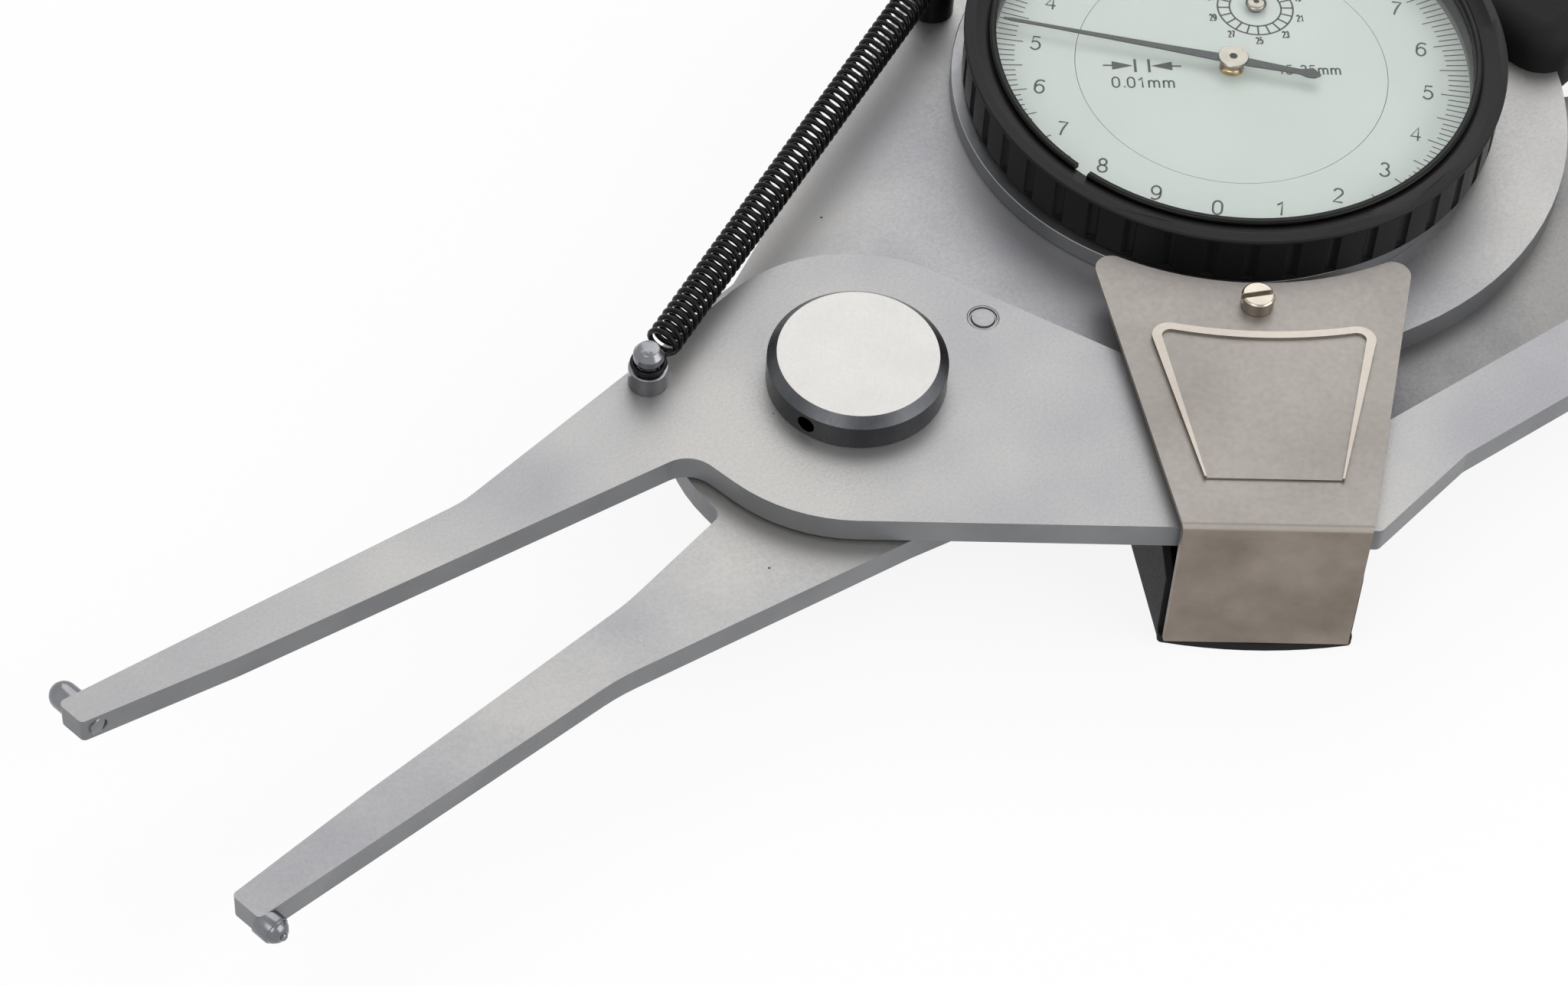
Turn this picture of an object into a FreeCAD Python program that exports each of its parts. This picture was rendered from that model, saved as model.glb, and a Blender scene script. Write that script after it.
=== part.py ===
import FreeCAD, Part
import math
import os
import Sketcher

# Internal dial caliper gauge: a fixed body plate with the lower arm, a lever plate with the
# upper arm that turns on the pivot stud, and a dial indicator whose spindle the lever pushes.
# Origin: on the dial axis, at the back of the back cover. +X runs from the pivot to the dial
# axis, +Z comes out of the dial. Lengths are millimetres, angles degrees.

doc = FreeCAD.newDocument("InternalDialCaliperGauge")
sizes = doc.addObject("Spreadsheet::Sheet", "Sizes")

drivingSizes = [
    # Levels of the stack, measured up from the back of the gauge
    ("coverFloor", 1.2), ("bodyBottom", 11.6), ("bodyThick", 3.0), ("leverGap", 0.4),
    ("leverThick", 3.0), ("guideThick", 2.4), ("caseThick", 2.1), ("dialFace", 19.0),
    ("dialThick", 0.8), ("bezelTop", 23.6), ("bracketTop", 20.0), ("sheetThick", 0.6),
    ("bracketFoot", 1.25),
    # Pivot
    ("pivotX", -61.2), ("studRadius", 4.0), ("bushRadius", 5.5), ("runningFit", 0.05),
    ("knobRadius", 9.35), ("knobHeight", 3.8), ("knobChamfer", 1.0), ("knobLift", 0.1),
    ("knobBore", 2.5), ("knobRoof", 0.9), ("washerRadius", 8.0), ("studHeadRadius", 6.5),
    ("studHeadThick", 1.6), ("spannerHole", 1.0), ("spannerDepth", 3.0), ("spannerTurn", 7.8),
    # Lever plate
    ("leverHub", 17.2), ("leverShoulder", 18.8), ("armTipX", -145.9), ("leverTipLow", 23.9),
    ("leverTipHigh", 27.4), ("leverArmX", -130.3), ("leverArmY", 19.0), ("leverRootX", -80.3),
    ("leverRootY", 5.3), ("leverBendX", -101.0), ("leverBendY", 17.2), ("leverRearSlope", 13.6),
    ("leverFootX", -26.4), ("leverFootY", -51.3), ("handleWidth", 7.9), ("handleTurn", -11.5),
    ("handleX", -20.0), ("handleY", -48.25), ("leverTongueEnd", 78.0), ("leverPlay", 1.05),
    ("stopPinRadius", 1.7), ("stopPinReach", 15.9), ("stopPinTurn", -14.2), ("stopSlotPlay", 0.25),
    ("stopPinFoot", 0.2), ("closingTurn", 13.7), ("drivePinRadius", 1.5), ("drivePinInset", 5.45),
    ("drivePinV", 6.5), ("drivePinFoot", 4.2), ("spindlePlay", 0.1),
    # Body plate
    ("bodyHub", 19.8), ("headMargin", 7.94), ("bodyTipX", -148.0), ("bodyTipHigh", 1.0),
    ("bodyTipLow", -2.8), ("bodyArmX", -135.2), ("bodyArmY", -4.2), ("bodyKneeX", -104.1),
    ("bodyKneeY", -7.5), ("bodyBendX", -70.9), ("bodyBendY", -16.6), ("bodyNotchX", -58.6),
    ("bodyNotchY", 19.66), ("bodyRootX", -82.0), ("bodyRootY", -0.6), ("bodyEdgeX", -96.9),
    ("bodyEdgeY", -1.6), ("bodyCrestX", -130.8), ("bodyCrestY", 0.4), ("tongueStart", 20.0),
    ("tongueEnd", 84.0), ("tongueY", -8.0), ("tongueHalf", 11.0), ("bodyWindow", 12.5),
    # Guide plate
    ("guideStart", 22.0), ("guideEnd", 60.0), ("guideClear", 0.5), ("guideLeftX", -20.0),
    ("guideLeftY", -45.5), ("guideFootX", 40.0), ("guideFootY", -54.0), ("guideRightX", 50.0),
    ("guideRightY", -33.0), ("guideNeckX", 29.4), ("guideNeckY", -25.6), ("guideInnerX", 24.0),
    ("guideInnerY", -20.0), ("guideScrewInset", 3.3),
    ("guideScrewATurn", -79.8), ("guideScrewBTurn", -50.3), ("guideScrewRadius", 1.05),
    ("guideScrewHead", 1.9), ("guideScrewThick", 1.2), ("guideScrewEnd", 0.8),
    # Corner radii of the plates' outlines
    ("leverArmRound", 30.0), ("leverRootRound", 3.5), ("leverBendRound", 12.0),
    ("leverTipRound", 0.6), ("handleRound", 2.0), ("handleRootRound", 8.0),
    ("bodyArmRound", 20.0), ("bodyKneeRound", 25.0), ("bodyBendRound", 15.0),
    ("bodyNotchRound", 3.0), ("bodyRootRound", 1.2), ("bodyEdgeRound", 30.0),
    ("bodyCrestRound", 60.0), ("bodyTipRound", 0.5), ("tongueRound", 5.0),
    ("guideEndRound", 2.0), ("guideLeftRound", 3.0), ("guideFootRound", 4.0),
    ("guideRightRound", 4.0), ("guideNeckRound", 3.0),
    # Box frame of the bracket and the back cover, turned about the dial axis
    ("boxTurn", 223.1), ("arcClear", 2.64), ("bracketHalf", 18.0), ("bracketRoot", 5.56),
    ("bracketFrontHalf", 9.35), ("bracketEar", 1.8), ("foldRadius", 0.9), ("bracketPlay", 1.1),
    ("panelClear", 9.74), ("panelSpan", 12.0), ("panelShoulder", 2.85), ("panelCorner", 1.8),
    ("panelFootU", 58.8),
    ("panelFootHalf", 7.1), ("panelRise", 0.2), ("panelRib", 0.9), ("ribRise", 0.5),
    ("spacerClear", 5.64), ("spacerRadius", 2.5), ("bracketScrewRadius", 1.0),
    ("bracketScrewHead", 1.75), ("bracketScrewThick", 1.7), ("bracketScrewTurn", 11.6),
    ("coverRadius", 29.0), ("coverWall", 0.9), ("boxHalf", 10.1), ("boxFlare", 0.165),
    ("boxEnd", 63.45), ("lipBulge", 0.9), ("cornerCutLength", 2.8), ("cornerCutDepth", 2.1),
    ("coverBoss", 2.1), ("coverATurn", 45.0), ("coverBTurn", 125.0), ("coverCTurn", 205.0),
    ("coverDTurn", 300.0), ("coverScrewInset", 2.3), ("coverScrewRadius", 0.9),
    ("coverScrewHead", 1.6), ("coverScrewThick", 0.8), ("coverScrewReach", 2.0),
    # Bezel, case and dial
    ("bezelRadius", 29.56), ("bezelWall", 2.71), ("bezelStep", 0.4), ("lipHeight", 0.7),
    ("lipProud", 0.25), ("grooveCount", 42), ("grooveRadius", 0.8), ("grooveDepth", 0.45),
    ("grooveFoot", 0.5), ("caseInset", 0.46), ("caseShiftX", -1.15), ("caseShiftY", 0.88),
    ("neckGap", 1.65), ("discRadius", 17.1), ("scaleGap", 0.06), ("glassThick", 1.0),
    ("glassSeat", 21.6), ("seatRingWall", 0.35), ("ringFit", 0.05), ("snapWidth", 0.55),
    ("snapThick", 0.6), ("snapGap", 7.0), ("snapTurn", 118.0), ("glassPlay", 0.1),
    ("lipEdge", 0.15), ("footEdge", 0.5), ("neckPlay", 0.15), ("bezelLift", 0.1),
    ("caseGap", 1.0), ("caseSkirt", 3.3), ("caseWall", 1.5), ("caseHubWall", 4.0),
    ("caseFloor", 1.2), ("dialPlay", 0.3), ("arborPlay", 0.3),
    # Movement
    ("counterU", -9.33), ("counterV", 3.3), ("wheelTeeth", 100), ("centreTeeth", 10),
    ("wheelModule", 0.18), ("rackTeeth", 18), ("rackPitchRadius", 1.837), ("arborRadius", 0.5),
    ("spindleRadius", 1.5), ("spindleZ", 6.0), ("plateInset", 5.6), ("plateThick", 1.2),
    ("lowerPlateZ", 2.4), ("upperPlateZ", 10.4), ("pillarRadius", 1.6), ("pillarInset", 2.0),
    ("pillarStud", 0.9), ("pillarBTurn", 143.1), ("pillarCTurn", 258.7),
    ("pillarDTurn", 322.6), ("nutRadius", 1.7), ("nutThick", 0.9), ("wheelZ", 8.0),
    ("wheelThick", 0.8), ("spindleV", 6.6), ("spindleRear", -13.0), ("rackTravel", 11.8),
    ("anvilThick", 1.6), ("anvilRadius", 2.2), ("bushHalf", 2.4), ("bushLength", 3.0),
    ("frontBushInset", 5.4), ("bushSpread", 7.0), ("springPinU", 7.5), ("springPinRadius", 0.5),
    ("springPinReach", 4.8),
    # Hands
    ("handClear", 0.65), ("handTail", 9.7), ("handTurn", 120.5), ("handWaist", 1.1), ("handRoot", 1.4), ("handPoint", 3.0),
    ("handPointWidth", 0.64), ("spadeWidth", 1.9), ("spadeLength", 3.6), ("spadeTip", 0.8),
    ("counterTip", 3.9), ("counterPoint", 0.6), ("counterTail", 1.6), ("counterWidth", 0.5),
    ("handZ", 20.2),
    ("handThick", 0.2), ("hubRadius", 1.68), ("counterHandZ", 19.25),
    ("counterHandTurn", 31.0), ("counterBoss", 1.1),
    # Springs, posts and contact pins
    ("postAX", -76.6), ("postAY", 14.9), ("postClear", 4.85), ("postBTurn", 112.0),
    ("postShank", 1.2), ("springZ", 21.0), ("springRadius", 1.85), ("springWire", 0.6),
    ("springStart", 2.7), ("hookRadius", 1.35), ("springTurns", 57), ("pinAX", -144.2),
    ("pinAY", 29.9), ("pinBX", -147.2), ("pinBY", -5.4), ("pinShankA", 0.85),
    ("pinShankB", 0.5), ("pinCollar", 1.5), ("pinSeatA", 2.5), ("pinSeatB", 2.25), ("pinReach", 6.2), ("returnRadius", 1.0), ("returnWire", 0.3), ("returnStart", 2.3),
    ("returnHook", 0.65), ("returnTurns", 14),
    # Grips
    ("bodyGripLeft", 26.5), ("bodyGripRight", 98.0), ("bodyGripLow", -24.0),
    ("bodyGripHigh", 8.0), ("bodyGripTop", 19.6), ("bodyGripBottom", 8.6),
    ("gripClear", 1.44), ("leverGripStart", 24.0), ("leverGripEnd", 92.0),
    ("leverGripHalf", 6.4), ("leverGripTop", 20.8), ("leverGripBottom", 12.4),
    ("gripRound", 3.4), ("gripScrewRadius", 1.6), ("gripScrewHead", 2.8),
    ("gripScrewThick", 1.4), ("bodyScrewAX", 50.0), ("bodyScrewBX", 70.0),
    ("leverScrewA", 67.0), ("leverScrewB", 88.0),
]
for row, (alias, value) in enumerate(drivingSizes, 1):
    sizes.set("A%d" % row, alias)
    sizes.set("B%d" % row, str(value))
    sizes.setAlias("B%d" % row, alias)
doc.recompute()

aliases = sorted((alias for alias, value in drivingSizes), key=len, reverse=True)


def size(expression):
    """Value in millimetres or degrees of an expression of the sheet's aliases."""
    return float(sizes.evalExpression(str(expression)))


def bound(expression):
    """The same expression, as another object of the document reads it."""
    words = []
    word = ""
    for letter in str(expression) + " ":
        if letter.isalnum():
            word += letter
            continue
        words.append("Sizes." + word if word in aliases else word)
        words.append(letter)
        word = ""
    return "".join(words).strip()


def bind(item, **settings):
    """Bind properties of an object to the sheet; Base_x stands for Placement.Base.x."""
    for name, expression in settings.items():
        path = {"x": "Placement.Base.x", "y": "Placement.Base.y", "z": "Placement.Base.z"}
        item.setExpression(path.get(name, name), bound(expression))


def newBody(label, x="0", y="0", z="0", turn="0", axis=(0, 0, 1)):
    body = doc.addObject("PartDesign::Body", label)
    body.Label = label
    body.Placement = FreeCAD.Placement(FreeCAD.Vector(), FreeCAD.Rotation(FreeCAD.Vector(*axis), 1))
    bind(body, x=x, y=y, z=z)
    body.setExpression("Placement.Rotation.Angle", bound(turn))
    return body


def newSketch(body, role="XY_Plane", level="0"):
    plane = [item for item in body.Origin.OriginFeatures if item.Role == role][0]
    sketch = body.newObject("Sketcher::SketchObject", body.Name + "Sketch")
    sketch.AttachmentSupport = [(plane, "")]
    sketch.MapMode = "FlatFace"
    sketch.setExpression("AttachmentOffset.Base.z", bound(level))
    return sketch


def roundedPath(corners):
    """Lines and arcs through corners (x, y, radius); a corner without a radius stays sharp."""
    count = len(corners)
    points = []
    for index, corner in enumerate(corners):
        here = FreeCAD.Vector(corner[0], corner[1], 0)
        radius = corner[2] if len(corner) > 2 else 0
        if not radius:
            points.append((here, None, here))
            continue
        before = corners[index - 1]
        after = corners[(index + 1) % count]
        back = (FreeCAD.Vector(before[0], before[1], 0) - here).normalize()
        ahead = (FreeCAD.Vector(after[0], after[1], 0) - here).normalize()
        half = back.getAngle(ahead) / 2
        reach = radius / math.tan(half)
        middle = here + (back + ahead).normalize() * (radius / math.sin(half) - radius)
        points.append((here + back * reach, middle, here + ahead * reach))
    edges = []
    for index, (start, middle, end) in enumerate(points):
        if middle is not None:
            edges.append(Part.Arc(start, middle, end))
        following = points[(index + 1) % count][0]
        if (following - end).Length > 1e-4:
            edges.append(Part.LineSegment(end, following))
    return edges


def addOutline(sketch, corners):
    for edge in roundedPath(corners):
        sketch.addGeometry(edge, False)


def addCircle(sketch, x, y, radius):
    """A circle whose centre and radius follow the sheet."""
    place = FreeCAD.Vector(size(x), size(y), 0)
    index = sketch.addGeometry(Part.Circle(place, FreeCAD.Vector(0, 0, 1), size(radius)), False)
    for kind, expression in (("DistanceX", x), ("DistanceY", y)):
        number = sketch.addConstraint(Sketcher.Constraint(kind, -1, 1, index, 3, size(expression)))
        sketch.setExpression("Constraints[%d]" % number, bound(expression))
    number = sketch.addConstraint(Sketcher.Constraint("Radius", index, size(radius)))
    sketch.setExpression("Constraints[%d]" % number, bound(radius))


def addPad(body, sketch, height):
    pad = body.newObject("PartDesign::Pad", body.Name + "Pad")
    pad.Profile = sketch
    pad.setExpression("Length", bound(height))
    doc.recompute()
    return pad


def addPocket(body, sketch, depth=None, upward=True):
    """A cut from the sketch's plane; with no depth it goes through all, both ways."""
    before = body.Shape.Volume
    pocket = body.newObject("PartDesign::Pocket", body.Name + "Pocket")
    pocket.Profile = sketch
    if depth is None:
        pocket.Type = "ThroughAll"
        pocket.Midplane = True
    else:
        pocket.setExpression("Length", bound(depth))
        pocket.Reversed = upward
    doc.recompute()
    if body.Shape.Volume > before - 1e-4:
        raise ValueError(body.Label + " pocket cuts nothing")
    return pocket


def plate(label, corners, level, thickness, holes=(), **place):
    """A flat plate: one padded outline, with round holes (x, y, radius) through it."""
    body = newBody(label, **place)
    sketch = newSketch(body, level=level)
    addOutline(sketch, corners)
    addPad(body, sketch, thickness)
    if holes:
        drill(body, holes, level)
    return body


def at(name):
    """The point whose two sizes are called nameX and nameY."""
    return (size(name + "X"), size(name + "Y"))


def corner(name):
    """The same point as a rounded corner, with its radius nameRound."""
    return at(name) + (size(name + "Round"),)


def crossBore(body, x, z, radius):
    """A hole along Y, through all of a plate's tip."""
    bore = newSketch(body, "XZ_Plane")
    addCircle(bore, x, z, radius)
    addPocket(body, bore)


def drill(body, holes, level):
    sketch = newSketch(body, level=level)
    for x, y, radius in holes:
        addCircle(sketch, x, y, radius)
    addPocket(body, sketch)


def turned(label, profile, x="0", y="0", z="0", turn="0", axis=(0, 0, 1)):
    """A turned piece: corners (radius, height) as expressions, revolved about its own Z."""
    body = newBody(label, x, y, z, turn, axis)
    sketch = newSketch(body, "XZ_Plane")
    count = len(profile)
    values = [(size(radius), size(height)) for radius, height in profile]
    for index in range(count):
        start = FreeCAD.Vector(*values[index], 0)
        end = FreeCAD.Vector(*values[(index + 1) % count], 0)
        sketch.addGeometry(Part.LineSegment(start, end), False)
    for index in range(count):
        sketch.addConstraint(Sketcher.Constraint("Coincident", index, 2, (index + 1) % count, 1))
    for index, corner in enumerate(profile):
        for kind, expression in zip(("DistanceX", "DistanceY"), corner):
            rule = Sketcher.Constraint(kind, -1, 1, index, 1, size(expression))
            number = sketch.addConstraint(rule)
            sketch.setExpression("Constraints[%d]" % number, bound(expression))
    revolution = body.newObject("PartDesign::Revolution", label + "Turn")
    revolution.Profile = sketch
    revolution.ReferenceAxis = (sketch, ["V_Axis"])
    revolution.Angle = 360
    doc.recompute()
    return body


def cylinder(name, radius, height, **place):
    item = doc.addObject("Part::Cylinder", name)
    bind(item, Radius=radius, Height=height, **place)
    return item


def joined(label, items):
    """Separate equal solids that share one node."""
    group = doc.addObject("Part::MultiFuse", label)
    group.Label = label
    group.Shapes = items
    return group


def screwSet(label, places, headRadius, headBottom, headThick, shankRadius, shankBottom, shankTop):
    """Slotted screws at places (x, y), driven in from below: a head, a shank and a slot."""
    screws = []
    for number, (x, y) in enumerate(places):
        name = "%s%d" % (label, number)
        head = cylinder(name + "Head", headRadius, headThick, x=x, y=y, z=headBottom)
        length = "%s - (%s)" % (shankTop, shankBottom)
        shank = cylinder(name + "Shank", shankRadius, length, x=x, y=y, z=shankBottom)
        slot = doc.addObject("Part::Box", name + "Slot")
        bind(slot, Length="2 * " + headRadius, Width=headRadius + " / 4",
             Height=headThick + " / 2", x="%s - %s" % (x, headRadius),
             y="%s - %s / 8" % (y, headRadius), z=headBottom)
        blank = doc.addObject("Part::Fuse", name + "Blank")
        blank.Base = head
        blank.Tool = shank
        whole = doc.addObject("Part::Cut", name)
        whole.Base = blank
        whole.Tool = slot
        screws.append(whole)
    return joined(label, screws)


def polar(radius, angle):
    """A point of the turned box frame, as (x, y) expressions of the gauge's own frame."""
    return ("%s * cos(%s)" % (radius, angle), "%s * sin(%s)" % (radius, angle))


def boxPoint(u, v):
    """A point (u, v) of the box frame, as (x, y) expressions of the gauge's frame."""
    return ("(%s) * cos(boxTurn) - (%s) * sin(boxTurn)" % (u, v),
            "(%s) * sin(boxTurn) + (%s) * cos(boxTurn)" % (u, v))


def tangentCorner(x, y, radius, angleA, angleB):
    """Where the two tangents at these angles of a circle meet, with the circle's radius."""
    half = math.radians(angleB - angleA) / 2
    middle = math.radians(angleA + angleB) / 2
    reach = radius / math.cos(half)
    return (x + reach * math.cos(middle), y + reach * math.sin(middle), radius)


def tangentAngle(point, radius, side):
    """Angle at which a line from the point touches the circle about the dial axis."""
    away = math.hypot(*point)
    heading = math.atan2(-point[1], -point[0]) + side * math.asin(radius / away)
    return math.degrees(heading) + 90 * side


def crossing(pointA, angleA, pointB, angleB):
    """Where two lines cross, each given by a point and a direction."""
    ax, ay = math.cos(math.radians(angleA)), math.sin(math.radians(angleA))
    bx, by = math.cos(math.radians(angleB)), math.sin(math.radians(angleB))
    dx, dy = pointB[0] - pointA[0], pointB[1] - pointA[1]
    share = (dx * by - dy * bx) / (ax * by - ay * bx)
    return (pointA[0] + share * ax, pointA[1] + share * ay)


def gearCorners(teeth, rootRadius, tipRadius, rootShare=0.62, tipShare=0.26, phase=0.0):
    """Corners of a spur gear with straight-sided teeth, symmetric about each tooth."""
    corners = []
    pitch = 2 * math.pi / teeth
    for tooth in range(teeth):
        middle = (tooth + phase) * pitch
        for radius, share in ((rootRadius, -rootShare), (tipRadius, -tipShare),
                              (tipRadius, tipShare), (rootRadius, rootShare)):
            angle = middle + share * pitch / 2
            corners.append((radius * math.cos(angle), radius * math.sin(angle)))
    return corners


# Levels that follow from the stack
bodyTop = "(bodyBottom + bodyThick)"
leverBottom = "(bodyBottom + bodyThick + leverGap)"
leverTop = "(bodyBottom + bodyThick + leverGap + leverThick)"
caseTop = "(bodyBottom + bodyThick + caseThick)"
guideBottom = "(bodyBottom - guideThick)"
knobBottom = "(bodyBottom + bodyThick + leverGap + leverThick + knobLift)"
pivot = size("pivotX")

# Radii and places that follow from the bezel, the case and the cover
bodyHead = "(bezelRadius + headMargin)"
bezelLip = "(bezelRadius - bezelWall)"
ringRadius = "(bezelRadius - bezelWall - bezelStep - ringFit)"
caseNeck = "(bezelRadius - bezelWall - neckGap)"
caseRadius = "(bezelRadius - caseInset)"
plateRadius = "(coverRadius - plateInset)"
drivePinU = "(boxEnd - drivePinInset)"
spacerU = "(bezelRadius + spacerClear)"
spindleEnd = "(boxEnd - drivePinInset - drivePinRadius - spindlePlay - anvilThick)"


def makeLeverPlate():
    hub = size("leverHub")
    shoulder = size("leverShoulder")
    front = size("boxTurn")
    width = size("handleWidth")
    tilt = size("handleTurn")
    handle = (size("handleX"), size("handleY"))
    along = (math.cos(math.radians(tilt)), math.sin(math.radians(tilt)))
    side = (-along[1] * width / 2, along[0] * width / 2)
    reach = (size("leverTongueEnd") - handle[0]) / along[0]
    end = (handle[0] + along[0] * reach, handle[1] + along[1] * reach)
    upper = (handle[0] + side[0], handle[1] + side[1])
    lower = (handle[0] - side[0], handle[1] - side[1])
    slope = size("leverRearSlope")
    rearPoint = (pivot + hub * math.cos(math.radians(slope)), hub * math.sin(math.radians(slope)))
    rearCorner = crossing(rearPoint, slope + 90, upper, tilt)
    edge = size("boxEnd + bracketPlay - leverPlay")
    frontPoint = (edge * math.cos(math.radians(front)), edge * math.sin(math.radians(front)))
    foot = at("leverFoot")
    frontCorner = crossing(frontPoint, front + 90, foot, 0)
    blend = size("handleRound")
    corners = [
        (size("armTipX"), size("leverTipLow"), size("leverTipRound")),
        corner("leverArm"),
        corner("leverRoot"),
        tangentCorner(pivot, 0, shoulder, 181, front),
        (frontCorner[0], frontCorner[1], 0.8),
        crossing(foot, 0, lower, tilt) + (blend,),
        (end[0] - side[0], end[1] - side[1], blend),
        (end[0] + side[0], end[1] + side[1], blend),
        rearCorner + (size("handleRootRound"),),
        tangentCorner(pivot, 0, hub, slope, 90),
        corner("leverBend"),
        (size("armTipX"), size("leverTipHigh"), size("leverTipRound")),
    ]
    holes = [
        ("pivotX", "0", "bushRadius"),
        ("pivotX + stopPinReach * cos(stopPinTurn)", "stopPinReach * sin(stopPinTurn)",
         "stopPinRadius"),
        boxPoint(drivePinU, "drivePinV") + ("drivePinRadius",),
        ("postAX", "postAY", "postShank"),
    ]
    holes += [onHandle(x, y) + ("gripScrewRadius",) for x, y in leverGripScrewPlaces]
    body = plate("lever_plate", corners, leverBottom, "leverThick", holes)
    crossBore(body, "pinAX", leverBottom + " + leverThick / 2", "pinShankA")


def makeBodyPlate():
    hub = size("bodyHub")
    head = size(bodyHead)
    armBend = at("bodyBend")
    notch = at("bodyNotch")
    low = tangentAngle(armBend, head, -1)
    high = tangentAngle(notch, head, 1)
    corners = [
        (size("bodyTipX"), size("bodyTipLow"), size("bodyTipRound")),
        corner("bodyArm"),
        corner("bodyKnee"),
        corner("bodyBend"),
        tangentCorner(0, 0, head, low, -20),
        tangentCorner(0, 0, head, -20, 52),
        tangentCorner(0, 0, head, 52, high),
        corner("bodyNotch"),
        tangentCorner(pivot, 0, hub, 84, 130),
        tangentCorner(pivot, 0, hub, 130, 178),
        corner("bodyRoot"),
        corner("bodyEdge"),
        corner("bodyCrest"),
        (size("bodyTipX"), size("bodyTipHigh"), size("bodyTipRound")),
    ]
    body = newBody("body_plate")
    sketch = newSketch(body, level="bodyBottom")
    addOutline(sketch, corners)
    addPad(body, sketch, "bodyThick")
    tongue = newSketch(body, level="bodyBottom")
    addOutline(tongue, tongueCorners())
    addPad(body, tongue, "bodyThick")
    holes = [
        ("0", "0", "bodyWindow"),
        ("pivotX", "0", "studRadius"),
        postB + ("postShank",),
        boxPoint(spacerU, "0") + ("bracketScrewRadius",),
    ]
    holes += [(x, y, "gripScrewRadius") for x, y in bodyGripScrewPlaces]
    holes += [place + ("pillarStud",) for place in pillarPlaces]
    holes += [place + ("coverScrewRadius",) for place in coverScrewPlaces]
    drill(body, holes, "bodyBottom")
    blind = newSketch(body, level="bodyBottom")
    for x, y in guideScrewPlaces:
        addCircle(blind, x, y, "guideScrewRadius")
    addPocket(body, blind, "bodyThick - guideScrewEnd", True)
    crossBore(body, "pinBX", "bodyBottom + bodyThick / 2", "pinShankB")
    slot = newSketch(body, level="bodyBottom")
    reach = size("stopPinReach")
    half = size("stopPinRadius + stopSlotPlay")
    start = math.radians(size("stopPinTurn"))
    end = math.radians(size("stopPinTurn + closingTurn"))
    arcs = []
    for radius in (reach - half, reach + half):
        arcs.append([FreeCAD.Vector(pivot + radius * math.cos(a), radius * math.sin(a), 0)
                     for a in (start, (start + end) / 2, end)])
    caps = []
    for angle, way in ((start, -1), (end, 1)):
        turn = angle + way * half / reach
        caps.append(FreeCAD.Vector(pivot + reach * math.cos(turn), reach * math.sin(turn), 0))
    slot.addGeometry(Part.Arc(*arcs[0]), False)
    slot.addGeometry(Part.Arc(arcs[0][2], caps[1], arcs[1][2]), False)
    slot.addGeometry(Part.Arc(*arcs[1]), False)
    slot.addGeometry(Part.Arc(arcs[0][0], caps[0], arcs[1][0]), False)
    addPocket(body, slot)


postB = polar("(bezelRadius + postClear)", "postBTurn")
guideScrewPlaces = [polar("(%s - guideScrewInset)" % bodyHead, turn)
                    for turn in ("guideScrewATurn", "guideScrewBTurn")]


def makeGuidePlate():
    """The flat guide under the body plate that the lever's handle runs over."""
    turn = math.radians(size("boxTurn"))
    u = (math.cos(turn), math.sin(turn))
    v = (-math.sin(turn), math.cos(turn))

    def besideBox(name):
        along = size(name)
        across = boxSide(along) + size("guideClear")
        return (u[0] * along + v[0] * across, u[1] * along + v[1] * across)

    corners = [
        besideBox("guideStart"),
        besideBox("guideEnd") + (size("guideEndRound"),),
        corner("guideLeft"),
        corner("guideFoot"),
        corner("guideRight"),
        corner("guideNeck"),
        at("guideInner"),
    ]
    body = newBody("guide_plate")
    sketch = newSketch(body, level=guideBottom)
    addOutline(sketch, corners)
    addPad(body, sketch, "guideThick")
    drill(body, [("0", "0", "coverRadius + guideClear")], guideBottom)
    drill(body, [(x, y, "guideScrewRadius") for x, y in guideScrewPlaces], guideBottom)


def boxSide(along):
    """Half width of the cover's box, which widens towards the dial."""
    return size("boxHalf") + (size("boxEnd") - along) * size("boxFlare")


def roundEdges(body, edges, radius):
    """Round the named edges of the body's last feature."""
    rounded = body.Tip
    fillet = body.newObject("PartDesign::Fillet", body.Name + "Rounding")
    fillet.Base = (rounded, edges)
    fillet.setExpression("Radius", bound(radius))
    doc.recompute()


def roundOutline(body, radius, heights):
    """Round every edge of the body that lies flat at one of these heights."""
    edges = []
    for number, edge in enumerate(body.Shape.Edges, 1):
        box = edge.BoundBox
        if box.ZLength < 1e-6 and min(abs(box.ZMin - height) for height in heights) < 1e-6:
            edges.append("Edge%d" % number)
    roundEdges(body, edges, radius)


def makeBodyGrip():
    """Moulded grip round the body's tongue, hollow towards the bezel."""
    low, high = size("bodyGripLow"), size("bodyGripHigh")
    left, right = size("bodyGripLeft"), size("bodyGripRight")
    body = newBody("body_grip")
    sketch = newSketch(body, level="bodyGripBottom")
    addOutline(sketch, [(left, low, 4), (right, low, 11), (right, high, 11), (left, high, 4)])
    addPad(body, sketch, "bodyGripTop - bodyGripBottom")
    roundOutline(body, "gripRound", (size("bodyGripTop"), size("bodyGripBottom")))
    bezelCut = newSketch(body, level="bodyGripBottom")
    addCircle(bezelCut, "0", "0", "bezelRadius + gripClear")
    addPocket(body, bezelCut)
    slot = newSketch(body, level="bodyBottom")
    addCircle(slot, "0", "0", bodyHead)
    addPocket(body, slot, "bodyThick", True)
    pocket = newSketch(body, level="bodyBottom")
    addOutline(pocket, tongueCorners())
    addPocket(body, pocket, "bodyThick", True)
    counterbore(body, bodyGripScrewPlaces, "bodyGripBottom", bodyTop)


def tongueCorners():
    low = size("tongueY - tongueHalf")
    high = size("tongueY + tongueHalf")
    end = size("tongueEnd")
    start = size("tongueStart")
    turn = size("tongueRound")
    return [(start, low), (end, low, turn), (end, high, turn), (start, high)]


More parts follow.
